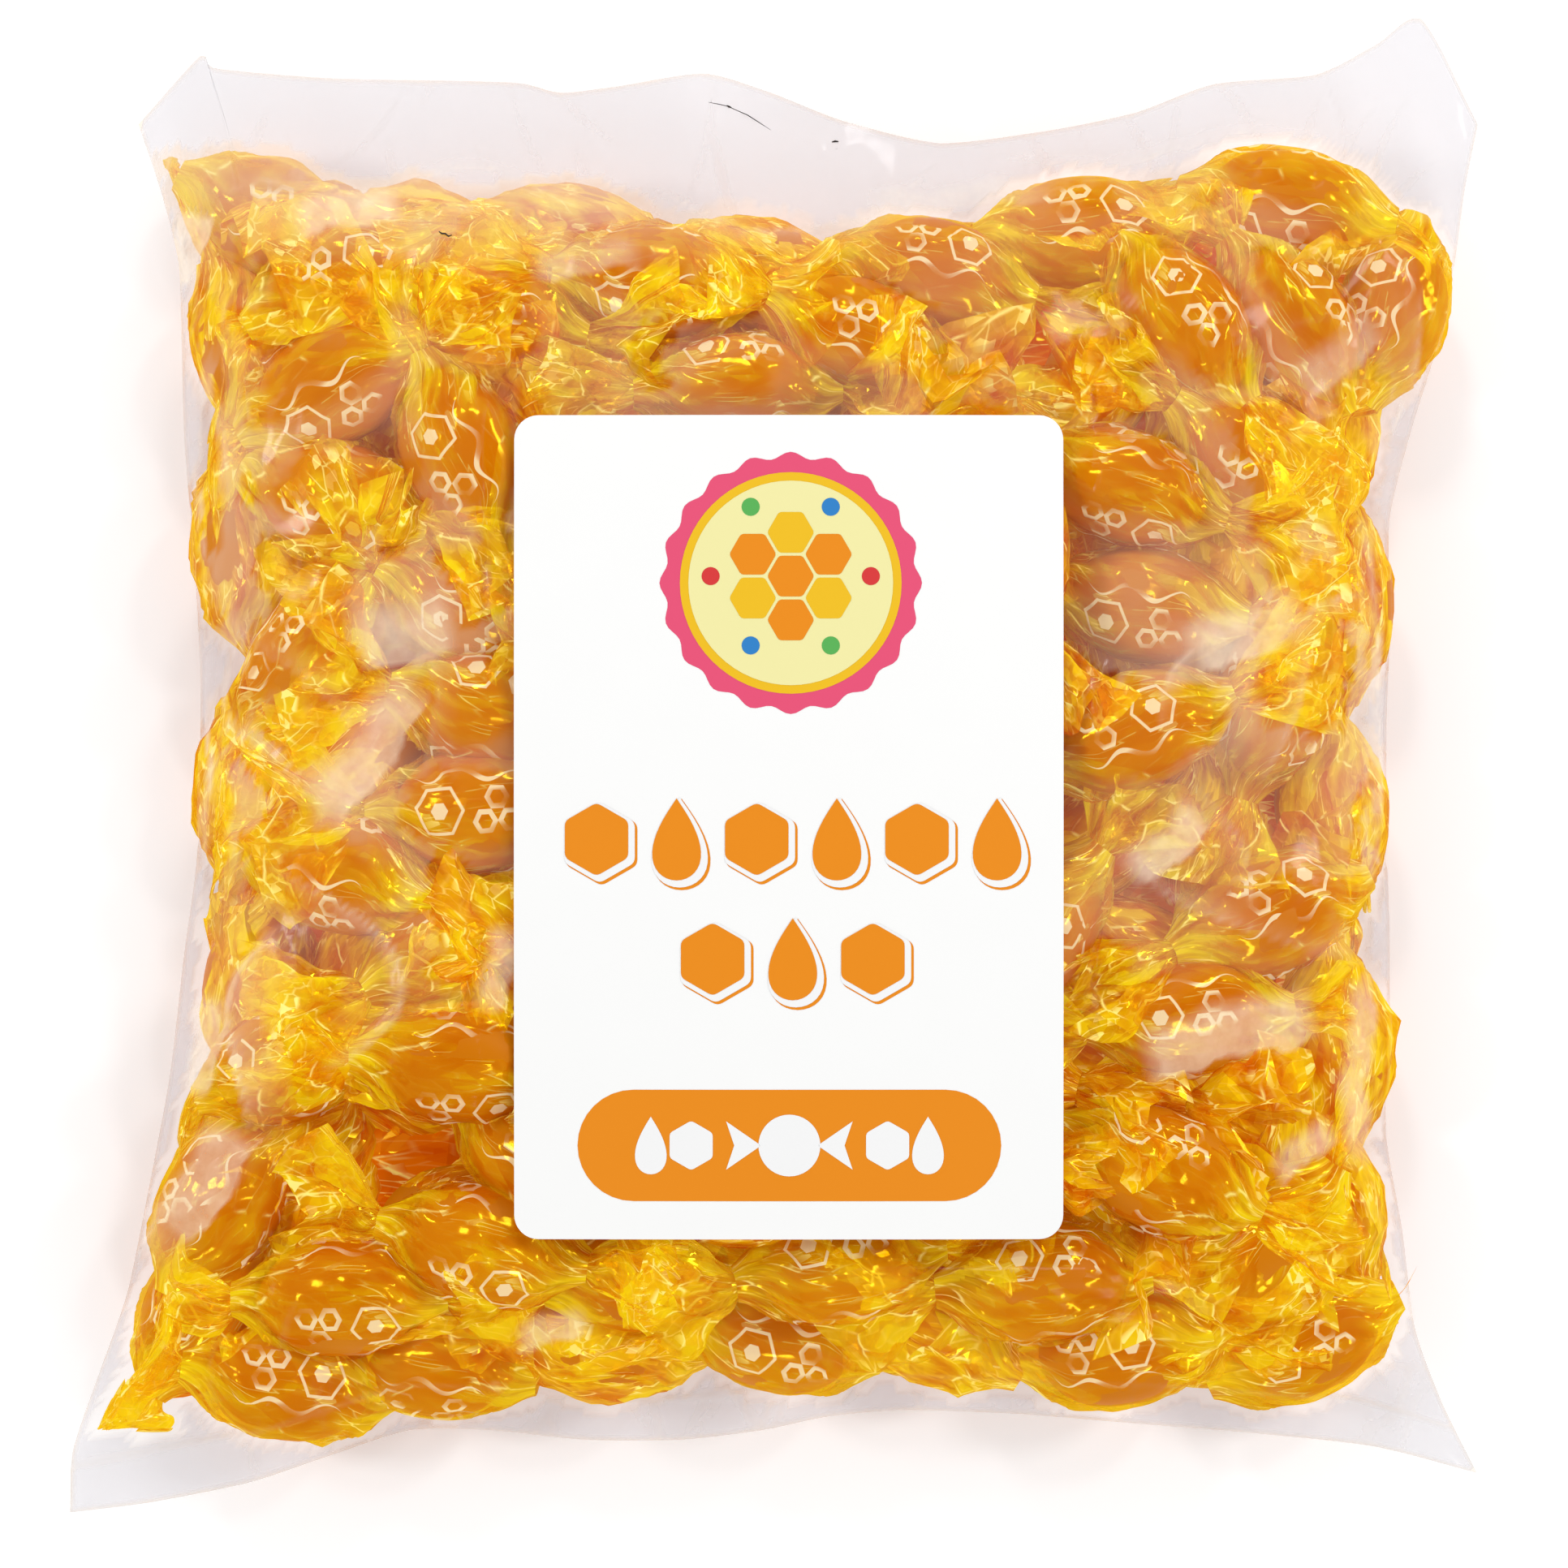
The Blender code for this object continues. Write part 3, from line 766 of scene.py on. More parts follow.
film = {
    "mapStep": 0.8,  # squares of the map of heights that the film lies on
    "mapMargin": 4.0,
    "gap": 0.18,
    "labelGap": 0.12,
    "offFloor": 0.15,
    "touching": 0.4,  # the film is clear where it is this close to the wraps, and milky where it lifts off
    "veiledBy": 1.4,
    # cells across and along, and how often each net is drawn tight
    "levels": ((26, 27, 260), (52, 54, 260), (104, 108, 300), (208, 216, 380)),
    "seamAt": 0.034,  # shares of the bag's height
    "seamHalf": 0.004,
    "seamWave": 0.003,
    "seamHeight": 0.5,
    "seamWhite": 0.7,
    "edgeWhite": (0.003, 0.8),
    "smoothEdge": 0.02,
    "folds": [  # long soft folds of the front film, each with a painted highlight and a painted sheen beside it: points along each, how broad its veil is, and how white
        ([(-75, -15), (-64, -21), (-57.5, -26), (-55, -32), (-56, -37), (-61, -42), (-66, -45)], -3.0, 0.9),
        ([(-79, 5), (-84, 0), (-86, -8), (-87, -16)], 3.0, 0.7),
        ([(-74, -24), (-80, -31), (-82, -38), (-80, -46), (-78, -54)], 9.0, 1.4),
        ([(-79, -54), (-84, -57), (-90, -64), (-96, -74)], 8.0, 1.4),
        ([(58, 5), (57.5, 9), (60, 15), (66, 19), (78, 20), (81, 24), (90, 26)], -3.5, 0.9),
        ([(88, 38), (90, 26), (91, 12), (91, -6), (90, -18)], -4.0, 0.9),
        ([(73, -2), (78, 8), (80, 18)], 4.0, 0.6),
        ([(97, 72), (96, 58), (91, 46)], -6.0, 0.8),
        ([(-87, 30), (-80, 20), (-68, 12), (-60, 2)], 5.0, 0.45),
        ([(-55, 26), (-50, 12), (-52, -2)], 5.0, 0.4),
        ([(50, -12), (60, -20), (76, -26), (90, -30)], 4.0, 0.55),
        ([(62, -2), (70, -12), (72, -26)], -4.0, 0.5),
        ([(-80, 88), (-62, 86), (-44, 90), (-30, 84)], 4.0, 0.5),
        ([(-20, 88), (-4, 80), (14, 82), (24, 90)], -4.0, 0.7),
        ([(30, 92), (50, 90), (70, 95), (88, 94)], 4.0, 0.5),
        ([(-88, 60), (-82, 48), (-84, 38)], 3.0, 0.5),
    ],
    "foldSteps": 70,
    "foldCrisp": 0.8,  # width of its crisp side
    "foldVeil": 0.55,
    "foldRidge": (0.5, 1.4),  # height and half width
    "sheens": [  # painted reflections, white patches of the front film: middle, turn, half length, half width, and how white
        (67.5, -39, 14, 14, 5, 1.2), (87, -46, 88, 15, 3, 0.8), (58, -11, 40, 8, 4, 0.9),
        (70, 21, 25, 10, 5, 0.8), (-55, 21, 10, 8, 6, 0.7), (-61, 3, 55, 13, 5, 0.8),
        (-41.5, -30, 70, 7, 3, 0.8), (-89, 78, 75, 6, 4, 1.2), (-33, -84, 15, 6, 3, 0.8),
        (84, 62, 35, 8, 4, 0.6), (-86, -62, 55, 10, 5, 1.2), (28, 86, 5, 16, 3, 0.4),
        (-64, 84, 10, 9, 4, 0.7), (79, -57, 30, 6, 3, 0.8), (-28, 76, 5, 9, 3, 0.6),
        (-86, -42, 80, 8, 3, 1.2),
    ],
    # sharp little folds: how many, then their place across and up the bag and their turn, each drawn evenly
    # between two values, about the first by the second, or so on either side, then their reach and height
    "creases": [
        (24, ("even", -90, 98), ("about", 95, 7), ("about", 90, 35), 10, 0.4),
        (40, ("even", -98, 98), ("about", -98, 5), ("about", 90, 30), 8, 0.5),
        (34, ("about", -86, 5), ("even", -95, 90), ("about", 0, 45), 10, 0.5),
        (34, ("about", 93, 5), ("even", -95, 90), ("about", 0, 45), 10, 0.5),
        (18, ("either", 84, 4), ("even", -80, 80), ("about", 90, 14), 18, 0.4),
        (70, ("even", -85, 85), ("even", -85, 80), ("even", 0, 180), 7, 0.5),
    ],
    "creaseReach": (0.6, 1.6),
    "creaseWidth": (0.9, 2.2),
    "creaseBend": 0.03,
    "creaseStrength": (0.4, 1.0),
    "creaseWays": (-1, 1, 1),
    "creaseWhite": 0.25,  # painted highlight of the front film's little folds beside its long ones
}


def heightMap(clouds, highest):
    # the highest or the lowest of the points over each small square
    low = np.array([bagLow.x, bagLow.y]) / mm - film["mapMargin"]
    size = (np.array([bagHigh.x, bagHigh.y]) / mm + film["mapMargin"] - low) / film["mapStep"]
    field = np.full((int(size[1]) + 2, int(size[0]) + 2), -np.inf if highest else np.inf)
    cells = ((clouds[:, :2] - low) / film["mapStep"]).astype(int)
    keep = np.maximum if highest else np.minimum
    keep.at(field, (cells[:, 1], cells[:, 0]), clouds[:, 2])
    wide = field.copy()
    for down in (-1, 0, 1):
        for right in (-1, 0, 1):
            wide = keep(wide, np.roll(field, (down, right), (0, 1)))
    return wide, low


def readMap(field, low, plan):
    cells = ((plan - low) / film["mapStep"]).astype(int)
    return field[cells[..., 1], cells[..., 0]]


def finer(height, shape):
    # the same heights on a finer net
    rows, columns = height.shape
    r, c = np.linspace(0, rows - 1, shape[0]), np.linspace(0, columns - 1, shape[1])
    wide = np.array([np.interp(c, np.arange(columns), line) for line in height])
    return np.array([np.interp(r, np.arange(rows), line) for line in wide.T]).T


def drape(field, low, highest):
    # draws the film tight, coarse cells first, so that it bridges from sweet to sweet
    height = None
    for across, along, rounds in film["levels"]:
        plan = bagPlan(across, along)
        rim = rimHeight(plan)
        held = readMap(field, low, plan) + (film["gap"] if highest else -film["gap"])
        pressed = nearLabel(plan[..., 0], plan[..., 1], label["pressedMargin"])
        under = labelTop(plan[..., 0], plan[..., 1]) - label["thickness"] - film["labelGap"]
        height = rim.copy() if height is None else finer(height, rim.shape)
        for _ in range(rounds):
            around = height[:-2, 1:-1] + height[2:, 1:-1] + height[1:-1, :-2] + height[1:-1, 2:]
            height[1:-1, 1:-1] = around / 4
            if highest:
                height = np.where(pressed, under, np.maximum(height, held))
            else:
                height = np.maximum(np.minimum(height, held), film["offFloor"])
            height[0], height[-1], height[:, 0], height[:, -1] = rim[0], rim[-1], rim[:, 0], rim[:, -1]
    return plan, height, held


def anyOf(kind, first, second):
    # a value drawn in the way that the table of creases says
    if kind == "even":
        return dice.uniform(first, second)
    side = dice.choice((-1, 1)) if kind == "either" else 1
    return side * (first + dice.normal(0, second))


def turnedInto(x, y, cx, cy, turn):
    # places along and across a line through a point
    cos, sin = math.cos(math.radians(turn)), math.sin(math.radians(turn))
    return (x - cx) * cos + (y - cy) * sin, (y - cy) * cos - (x - cx) * sin


def creaseField(x, y):
    # sharp little folds: away from the seals and side folds, and between the sweets
    field, white = np.zeros(x.shape), np.zeros(x.shape)
    spots = []
    for count, placeX, placeY, turned, reach, height in film["creases"]:
        for _ in range(count):
            spots.append((anyOf(*placeX), anyOf(*placeY), anyOf(*turned), reach, height))
    for cx, cy, turn, reach, height in spots:
        reach, width = reach * dice.uniform(*film["creaseReach"]), dice.uniform(*film["creaseWidth"])
        along, across = turnedInto(x, y, cx, cy, turn)
        across = across + film["creaseBend"] * dice.uniform(-1, 1) * along**2
        fade = np.clip(1 - (along / reach) ** 2, 0, 1)
        strength = dice.uniform(*film["creaseStrength"])
        way = dice.choice(film["creaseWays"])
        field += height * strength * way * np.clip(1 - abs(across) / width, 0, 1) * fade
        # a painted highlight along each little fold
        line = strength * height * np.clip(1.2 - abs(across) / (0.6 + 0.25 * width), 0, 1) * fade
        white = np.maximum(white, line)
    return field, white


def longFolds(x, y):
    # the painted highlight and sheen that the long folds leave on the film, crisp on one side and fading on
    # the other, and their height
    white, ridge = np.zeros(x.shape), np.zeros(x.shape)
    ridgeHeight, ridgeHalf = film["foldRidge"]
    for knots, broad, strength in film["folds"]:
        path = edgeCurve(np.array(knots, float), film["foldSteps"])
        onward = np.gradient(path, axis=0)
        away = np.full(x.shape, np.inf)
        side, share = np.zeros(x.shape), np.zeros(x.shape)
        for place, ((px, py), (dx, dy)) in enumerate(zip(path, onward)):
            distance = np.hypot(x - px, y - py)
            nearer = distance < away
            turned = np.sign((dx * (y - py) - dy * (x - px)) * broad)
            side, share = np.where(nearer, turned, side), np.where(nearer, place / len(path), share)
            away = np.minimum(away, distance)
        ends = np.sqrt(np.clip(np.sin(math.pi * np.clip(share, 0.02, 0.98)), 0, 1))
        crisp = np.clip(1 - away / film["foldCrisp"], 0, 1)
        veil = np.where(side > 0, film["foldVeil"] * np.clip(1 - away / abs(broad), 0, 1), 0)
        white = np.maximum(white, strength * ends * np.maximum(crisp, veil))
        ridge += ridgeHeight * strength * ends * np.clip(1 - away / ridgeHalf, 0, 1)
    return white, ridge


def sheens(x, y):
    # painted reflections: patches with one crisp side, a fading one and ragged outlines
    white = np.zeros(x.shape)
    for cx, cy, turn, long, wide, strength in film["sheens"]:
        along, across = turnedInto(x, y, cx, cy, turn)
        across = across + 0.6 * np.sin(along * 0.35 + cx) + 0.25 * np.sin(along * 0.9)
        patch = easeIn((across + wide) / 0.7) * (1 - easeIn(across / wide))
        patch = patch * np.clip(3 - 3 * abs(along) / long, 0, 1)
        white = np.maximum(white, strength * np.clip(patch, 0, 1))
    return white


def makeFilm(name, material, clouds, highest):
    field, low = heightMap(clouds, highest)
    plan, height, held = drape(field, low, highest)
    x, y = plan[..., 0], plan[..., 1]
    rows, columns = height.shape
    creases, white = creaseField(x, y)
    t, s = np.linspace(0, 1, rows)[:, None], np.linspace(0, 1, columns)[None]
    edge = np.minimum(np.minimum(t, 1 - t), np.minimum(s, 1 - s))
    fromSeam = abs(t - film["seamAt"] - film["seamWave"] * np.sin(9 * s))
    seam = np.clip(1 - fromSeam / film["seamHalf"], 0, 1)
    creases = (creases + film["seamHeight"] * seam) * easeIn(edge / film["smoothEdge"])
    edgeWidth, edgeWhite = film["edgeWhite"]
    white = np.maximum(white, np.maximum(film["seamWhite"] * seam, (edge < edgeWidth) * edgeWhite))
    if highest:
        foldWhite, ridge = longFolds(x, y)
        # the white of the front film: painted highlights of its folds and creases, and painted reflections
        white = np.maximum(film["creaseWhite"] * white, np.maximum(foldWhite, sheens(x, y)))
        pressed = nearLabel(x, y, label["pressedMargin"])
        height = np.where(pressed, height, np.maximum(height + creases + ridge, held))
    else:
        height = np.maximum(np.minimum(height + creases, held), film["offFloor"])
    points = np.concatenate([plan, height[..., None]], -1).reshape(-1, 3)
    # how far it is lifted off the wraps: 0 to 1, and 2 where there are none
    lift = easeIn((abs(height - held) - film["touching"]) / film["veiledBy"]) + ~np.isfinite(held)
    return addPiece(name, points, gridFaces(rows, columns), material, painted={"lift": lift, "fold": white})


# Specks: the few dark hairs and crumbs that lie on the front film

specks = {
    "hairs": [  # points along each, and its thickness in mm
        ([(-9.8, 99.9), (-8.2, 99.6), (-6.9, 99.3), (-5.4, 98.6), (-3.9, 97.9), (-2.2, 96.8), (-0.4, 95.6)],
         0.13),
        ([(-7.0, 99.4), (-6.7, 99.2), (-6.3, 99.05)], 0.36),
        ([(8.8, 93.75), (9.3, 93.85), (9.8, 93.8)], 0.38),
        ([(9.4, 92.7), (9.6, 92.75)], 0.16),
        ([(-50.0, 79.9), (-49.5, 79.5), (-49.0, 79.5), (-48.5, 79.1), (-48.0, 79.3)], 0.3),
    ],
    "sides": 6,
    "colour": "1F1513",
    "roughness": 0.6,
}


def makeSpecks(frontFilm):
    corners = np.array([vert.co for vert in frontFilm.data.vertices]) / mm
    sides = specks["sides"]
    bm = bmesh.new()
    for path, thickness in specks["hairs"]:
        rings = []
        for place, (x, y) in enumerate(path):
            z = corners[np.argmin((corners[:, 0] - x) ** 2 + (corners[:, 1] - y) ** 2), 2]
            before, after = path[max(place - 1, 0)], path[min(place + 1, len(path) - 1)]
            way = Vector((after[0] - before[0], after[1] - before[1], 0)).normalized()
            beside = Vector((-way.y, way.x, 0))
            taper = 0.45 if place in (0, len(path) - 1) else dice.uniform(0.8, 1.15)
            ring = []
            for step in range(sides):
                angle = 2 * math.pi * step / sides
                shift = beside * math.cos(angle) + Vector((0, 0, math.sin(angle)))
                ring.append(bm.verts.new(Vector((x, y, z + thickness / 2)) + shift * thickness / 2 * taper))
            rings.append(ring)
        for near, far in zip(rings, rings[1:]):
            for step in range(sides):
                beyond = (step + 1) % sides
                bm.faces.new([near[step], near[beyond], far[beyond], far[step]])
        bm.faces.new(rings[0][::-1])
        bm.faces.new(rings[-1])
    bmesh.ops.recalc_face_normals(bm, faces=bm.faces)
    return bmPiece("film_specks", bm, plainFinish("dark_speck", specks["colour"], specks["roughness"]))


# Shader helper: a socket that can be used in sums

class Wire:
    def __init__(self, look, socket):
        self.look = look
        self.socket = socket

    def out(self, name):
        return Wire(self.look, self.socket.node.outputs[name])

    def maths(self, operation, *values):
        return self.look.node("ShaderNodeMath", {"operation": operation}, dict(enumerate(values)))

    def __add__(self, other):
        return self.maths("ADD", self, other)

    def __sub__(self, other):
        return self.maths("SUBTRACT", self, other)

    def __rsub__(self, other):
        return self.maths("SUBTRACT", other, self)

    def __mul__(self, other):
        return self.maths("MULTIPLY", self, other)

    def __lt__(self, other):
        return self.maths("LESS_THAN", self, other)

    def __gt__(self, other):
        return self.maths("GREATER_THAN", self, other)

    def __abs__(self):
        return self.maths("ABSOLUTE", self)

    def clamp(self):
        return self.look.node("ShaderNodeClamp", {}, {"Value": self})

    def above(self, start, steepness):
        # 0 up to the start, then it rises to 1 and stays there
        return ((self - start) * steepness).clamp()

    __radd__ = __add__
    __rmul__ = __mul__


class Look:
    def __init__(self, name):
        self.material = bpy.data.materials.new(name)
        self.material.use_nodes = True
        self.tree = self.material.node_tree
        self.tree.nodes.clear()

    def node(self, kind, settings, sockets, output=0):
        # any node: its settings come first, then the values or links of its sockets
        made = self.tree.nodes.new(kind)
        for key, value in settings.items():
            setattr(made, key, value)
        for key, value in sockets.items():
            if isinstance(value, Wire):
                self.tree.links.new(value.socket, made.inputs[key])
            else:
                made.inputs[key].default_value = value
        return Wire(self, made.outputs[output]) if made.outputs else made

    def vectors(self, operation, *values):
        return self.node("ShaderNodeVectorMath", {"operation": operation}, dict(enumerate(values)))

    def scaled(self, vector, amount):
        return self.node("ShaderNodeVectorMath", {"operation": "SCALE"}, {0: vector, "Scale": amount})

    def parts(self, vector):
        return self.node("ShaderNodeSeparateXYZ", {}, {"Vector": vector})

    def place(self):
        # where the surface is, in metres
        return self.node("ShaderNodeTexCoord", {}, {}, "Object")

    def painted(self, name):
        # a value painted on the piece's points
        return self.node("ShaderNodeAttribute", {"attribute_name": name}, {}, "Fac")

    def noise(self, where, size, detail=2.0, output=0):
        # clouds of about the given size in mm
        sockets = {"Vector": where, "Scale": 1 / (size * mm), "Detail": detail}
        return self.node("ShaderNodeTexNoise", {}, sockets, output)

    def cells(self, where, scale, edges=False):
        # a random colour for each cell of a sheet, or the distance to the cell's edge
        settings = {"voronoi_dimensions": "2D", "feature": "DISTANCE_TO_EDGE" if edges else "F1"}
        output = "Distance" if edges else "Color"
        return self.node("ShaderNodeTexVoronoi", settings, {"Vector": where, "Scale": scale}, output)

    def blend(self, share, first, second):
        sockets = {0: share, 6: first, 7: second}
        return self.node("ShaderNodeMix", {"data_type": "RGBA"}, sockets, 2)

    def finish(self, surface):
        self.node("ShaderNodeOutputMaterial", {}, {"Surface": surface})
        return self.material


def tone(code):
    # a web colour as linear light
    parts = [int(code[place:place + 2], 16) / 255 for place in (0, 2, 4)]
    return tuple(c / 12.92 if c <= 0.04045 else ((c + 0.055) / 1.055) ** 2.4 for c in parts) + (1.0,)


# Materials

sugarLook = {
    "light": "D88604",
    "dark": "C46400",
    "cloud": 14.0,
    "roughness": 0.45,
    "shine": 0.1,
    # painted glow: an emission in the sugar's own colour that lifts its shade, standing in for light passing
    # through it
    "glow": 0.1,
}
wrapLook = {
    "clear": "FFE660",
    "print": "FFF2C4",
    # pale crease lines and painted glints on the wraps
    "foldLineAndGlint": "FFF08C",
    "glare": "FFE230",
    "roughness": 0.13,
    "index": 1.65,
    # least cover, amber and yellow tones (the facets are painted between them, as random tone and as painted
    # light and shade), folds to the mm along and around, how far facets tilt, and glow (a painted glow that
    # lifts the shade)
    "printed": (0.02, "D07000", "EECE0A", (0.07, 0.2), 0.26, 0.16),
    "twisted": (0.14, "D26400", "F2D80C", (0.1, 0.26), 0.65, 0.23),
    # the deeper copies are redder and glow more: painted shade of the depths between the sweets, lifted by a
    # painted glow
    "deep": (0.4, "D45600", "F0C008", (0.1, 0.26), 0.55, 0.22),
    "bed": (0.9, "CC4A00", "E07400", (0.1, 0.26), 0.5, 0.26),
    "rim": "ECCA10",  # painted light: the yellow of the wraps by themselves along the bag's edges, as if lit through from behind
    "rimLightShare": 0.7,
    "patch": 1.3,  # how close together patches of like folds lie
    "bend": 0.4,  # of the folds in those patches
    "grit": 6.0,  # small facets to a large one
    "threads": 4.6,
    "lineShare": 0.85,
    "printShare": 0.7,
}
wrapMarks = {  # along and around the wrap, in mm
    "repeat": 17.0,
    "badge": (-5.0, 0.6),
    "badgeHalf": 3.0,
    "badgeLine": 0.22,
    "badgeHeart": 1.1,
    "comb": ((1.6, 2.2), (5.2, 2.2), (3.4, -1.0)),
    "combHalf": 1.25,
    "combLine": 0.34,
    "flow": (-0.5, -4.4),
    "flowWave": (0.75, 0.9),
    "flowHalf": 0.5,
    "flowTaper": 0.06,
}
filmLook = {
    "clear": "FFFFFF",
    "veil": "DEDAE2",
    "warmVeil": "F4DCC6",
    # the colour of the film's painted fold highlights and painted reflections
    "foldLineAndGlint": "FFF0D8",
    "foldLineShare": 0.8,
    # a painted glow on the film's fold highlights and reflections
    "foldGlow": ("FFD79A", 0.13),
    "lifted": 0.3,
    "haze": 0.015,
    "mist": 0.38,
    "flap": 0.27,
    "fold": 0.35,
    "milkyFrom": -45,  # in mm: from here up to the bag's middle the film turns milky where it lifts off
    "clearerFrom": 40,  # it is less so above this
    "milkySides": 40,  # and more so further than this from the middle
    "mistFrom": 74,  # a misty stretch above this and left of the next
    "mistTo": 30,
    "patch": 30.0,
    "foldPatch": 3.0,
    "ripple": 3.4,
    "rippleTilt": 0.12,
    "glare": "FFFFFF",
    "roughness": 0.12,
    "index": 1.25,
    "glareTouching": 0.12,  # share of the glare where the film touches the wraps
}
sheetLook = {  # of all the clear sheets
    "roughness": 0.6,
    # tint of the sheets' painted glow
    "glowTint": (1.0, 0.72, 0.5),
    "mostGlare": 0.16,
}
plainLook = {"mottle": 9.0, "darker": 0.985, "grain": 0.35, "grainHeight": 0.05}


def boiledSugar():
    look = Look("boiled_sugar")
    cloud = look.noise(look.place(), sugarLook["cloud"], 1.0)
    colour = look.blend(cloud, tone(sugarLook["dark"]), tone(sugarLook["light"]))
    sockets = {
        "Base Color": colour,
        "Roughness": sugarLook["roughness"],
        "Specular IOR Level": sugarLook["shine"],
        # the emission is a painted glow that lifts the sugar's shade
        "Emission Color": colour,
        "Emission Strength": sugarLook["glow"],
    }
    return look.finish(look.node("ShaderNodeBsdfPrincipled", {}, sockets))


def hexagonReach(across, up):
    # distance from the middle of a hexagon, measured to its flat sides
    slope = abs(across) * 0.866 + abs(up) * 0.5
    return slope.maths("MAXIMUM", slope, abs(up))


def wrapPrint(sheet):
    # pale marks printed on the wrap: a hexagon badge, three cells of comb and a flowing line
    marks, repeat = wrapMarks, wrapMarks["repeat"]
    along, around = sheet.out("X"), sheet.out("Y")
    again = around.maths("FLOORED_MODULO", around, repeat) - repeat / 2
    badge = hexagonReach(along - marks["badge"][0], again - marks["badge"][1])
    inked = (abs(badge - marks["badgeHalf"]) < marks["badgeLine"]) + (badge < marks["badgeHeart"])
    for cellAlong, cellUp in marks["comb"]:
        cell = hexagonReach(along - cellAlong, again - cellUp)
        inked = inked + (abs(cell - marks["combHalf"]) < marks["combLine"])
    (flowAlong, flowUp), (waves, height) = marks["flow"], marks["flowWave"]
    flow = again - flowUp - along.maths("SINE", along * waves) * height
    half = marks["flowHalf"] - abs(along - flowAlong) * marks["flowTaper"]
    return (inked + (abs(flow) < half)).clamp()


def thinSheet(look, finish, cover, colour, glow, facing, share=1.0, lit=None):
    # a clear glossy sheet that hides what is behind it by the given cover, with a share of the glare
    # a painted glow: emission in the sheet's colour, tinted redder, that lifts its shade as light through the
    # sheet would
    lit = lit or look.vectors("MULTIPLY", colour, sheetLook["glowTint"])
    sockets = {
        "Base Color": colour,
        "Roughness": sheetLook["roughness"],
        "Specular IOR Level": 0.0,
        "Emission Color": lit,
        "Emission Strength": glow,
    }
    body = look.node("ShaderNodeBsdfPrincipled", {}, sockets)
    through = look.node("ShaderNodeBsdfTransparent", {}, {"Color": tone(finish["clear"])})
    sheet = look.node("ShaderNodeMixShader", {}, {0: cover, 1: through, 2: body})
    sockets = {"Color": tone(finish["glare"]), "Roughness": finish["roughness"], "Normal": facing}
    glare = look.node("ShaderNodeBsdfGlossy", {}, sockets)
    fresnel = look.node("ShaderNodeFresnel", {}, {"IOR": finish["index"]})
    bright = fresnel.maths("MINIMUM", fresnel, sheetLook["mostGlare"]) * share
    return look.finish(look.node("ShaderNodeMixShader", {}, {0: bright, 1: sheet, 2: glare}))


def tilted(look, amount, *facets):
    # the surface's normal, leaning another way on each facet
    facing = look.node("ShaderNodeNewGeometry", {}, {}, "Normal")
    for facet in facets:
        lean = look.vectors("SUBTRACT", facet, (0.5, 0.5, 0.5))
        facing = look.vectors("ADD", facing, look.scaled(lean, amount))
    return look.vectors("NORMALIZE", facing)


def wrapLinesAndGlints(look, bent, patches, grain, crumbled):
    # the bright lines on the wrap's folds and its fine threads, partly crease marks and partly painted
    # highlights, and the sparks: painted glints where it is finely crumpled
    edge = (1 - look.cells(bent, 1.0, edges=True) * 26).clamp() * patches.out("Y").above(0.53, 12)
    narrow = look.vectors("MULTIPLY", bent, (0.5, 1.0, 1.0))
    thread = (1 - look.cells(narrow, wrapLook["threads"], edges=True) * 12).clamp()
    thread = thread * (crumbled * 0.75 + 0.15) * (grain.out("X") * 1.5).clamp()
    spark = (grain.out("Y") - 0.8).clamp() * 8 * crumbled
    return edge + spark * 0.7 + thread


def cellophane(name):
    cover, amber, yellow, (along, around), tilt, glow = wrapLook[name]
    look = Look(f"{name}_wrap")
    sheet = look.parts(look.node("ShaderNodeUVMap", {"uv_map": "wrapSheet"}, {}))
    drawn = look.node("ShaderNodeCombineXYZ", {}, {0: sheet.out("X") * along, 1: sheet.out("Y") * around})
    sockets = {"Vector": drawn, "Scale": wrapLook["patch"], "Detail": 1.0}
    warp = look.node("ShaderNodeTexNoise", {}, sockets, "Color")
    bent = look.vectors("ADD", drawn, look.scaled(warp, wrapLook["bend"]))
    panels, grit = look.cells(bent, 1.0), look.cells(drawn, wrapLook["grit"])
    patches, grain = look.parts(warp), look.parts(grit)
    crumbled = patches.out("Z").above(0.5, 9)
    facing = tilted(look, tilt, panels, look.scaled(grit, crumbled))
    line = wrapLinesAndGlints(look, bent, patches, grain, crumbled)
    ridge, rim = look.painted("ridge"), look.painted("rim")
    # the tone from amber to yellow: random patches and grit, with painted light and shade on the facets and a
    # painted highlight on the ridges
    shade = (patches.out("X") - 0.5) * 2.2 + look.parts(panels).out("X") * 0.7
    shade = (shade + ridge * 0.3 + grain.out("X") * 0.32).clamp()
    colour = look.blend(shade, tone(amber), tone(yellow))
    # the wraps along the bag's edges painted yellower, as light shining through them
    colour = look.blend(rim * shade * wrapLook["rimLightShare"], colour, tone(wrapLook["rim"]))
    # painted glints and pale crease lines
    colour = look.blend(line.clamp() * wrapLook["lineShare"], colour, tone(wrapLook["foldLineAndGlint"]))
    if name == "printed":
        marks = wrapPrint(sheet) * (patches.out("Z").above(0.34, 5) * wrapLook["printShare"])
        neck = abs(sheet.out("X")).above(7.5, 0.12) * 0.7
        cover = (cover + shade * shade * 0.28 + neck + line * 0.5 + ridge * 0.15).clamp()
        cover = cover.maths("MAXIMUM", cover, marks)
        colour = look.blend(marks * 1.7, colour, tone(wrapLook["print"]))
    else:
        cover = (cover + shade * 0.55 + line * 0.6 + ridge * 0.15).clamp()
    return thinSheet(look, wrapLook, cover, colour, glow, facing)


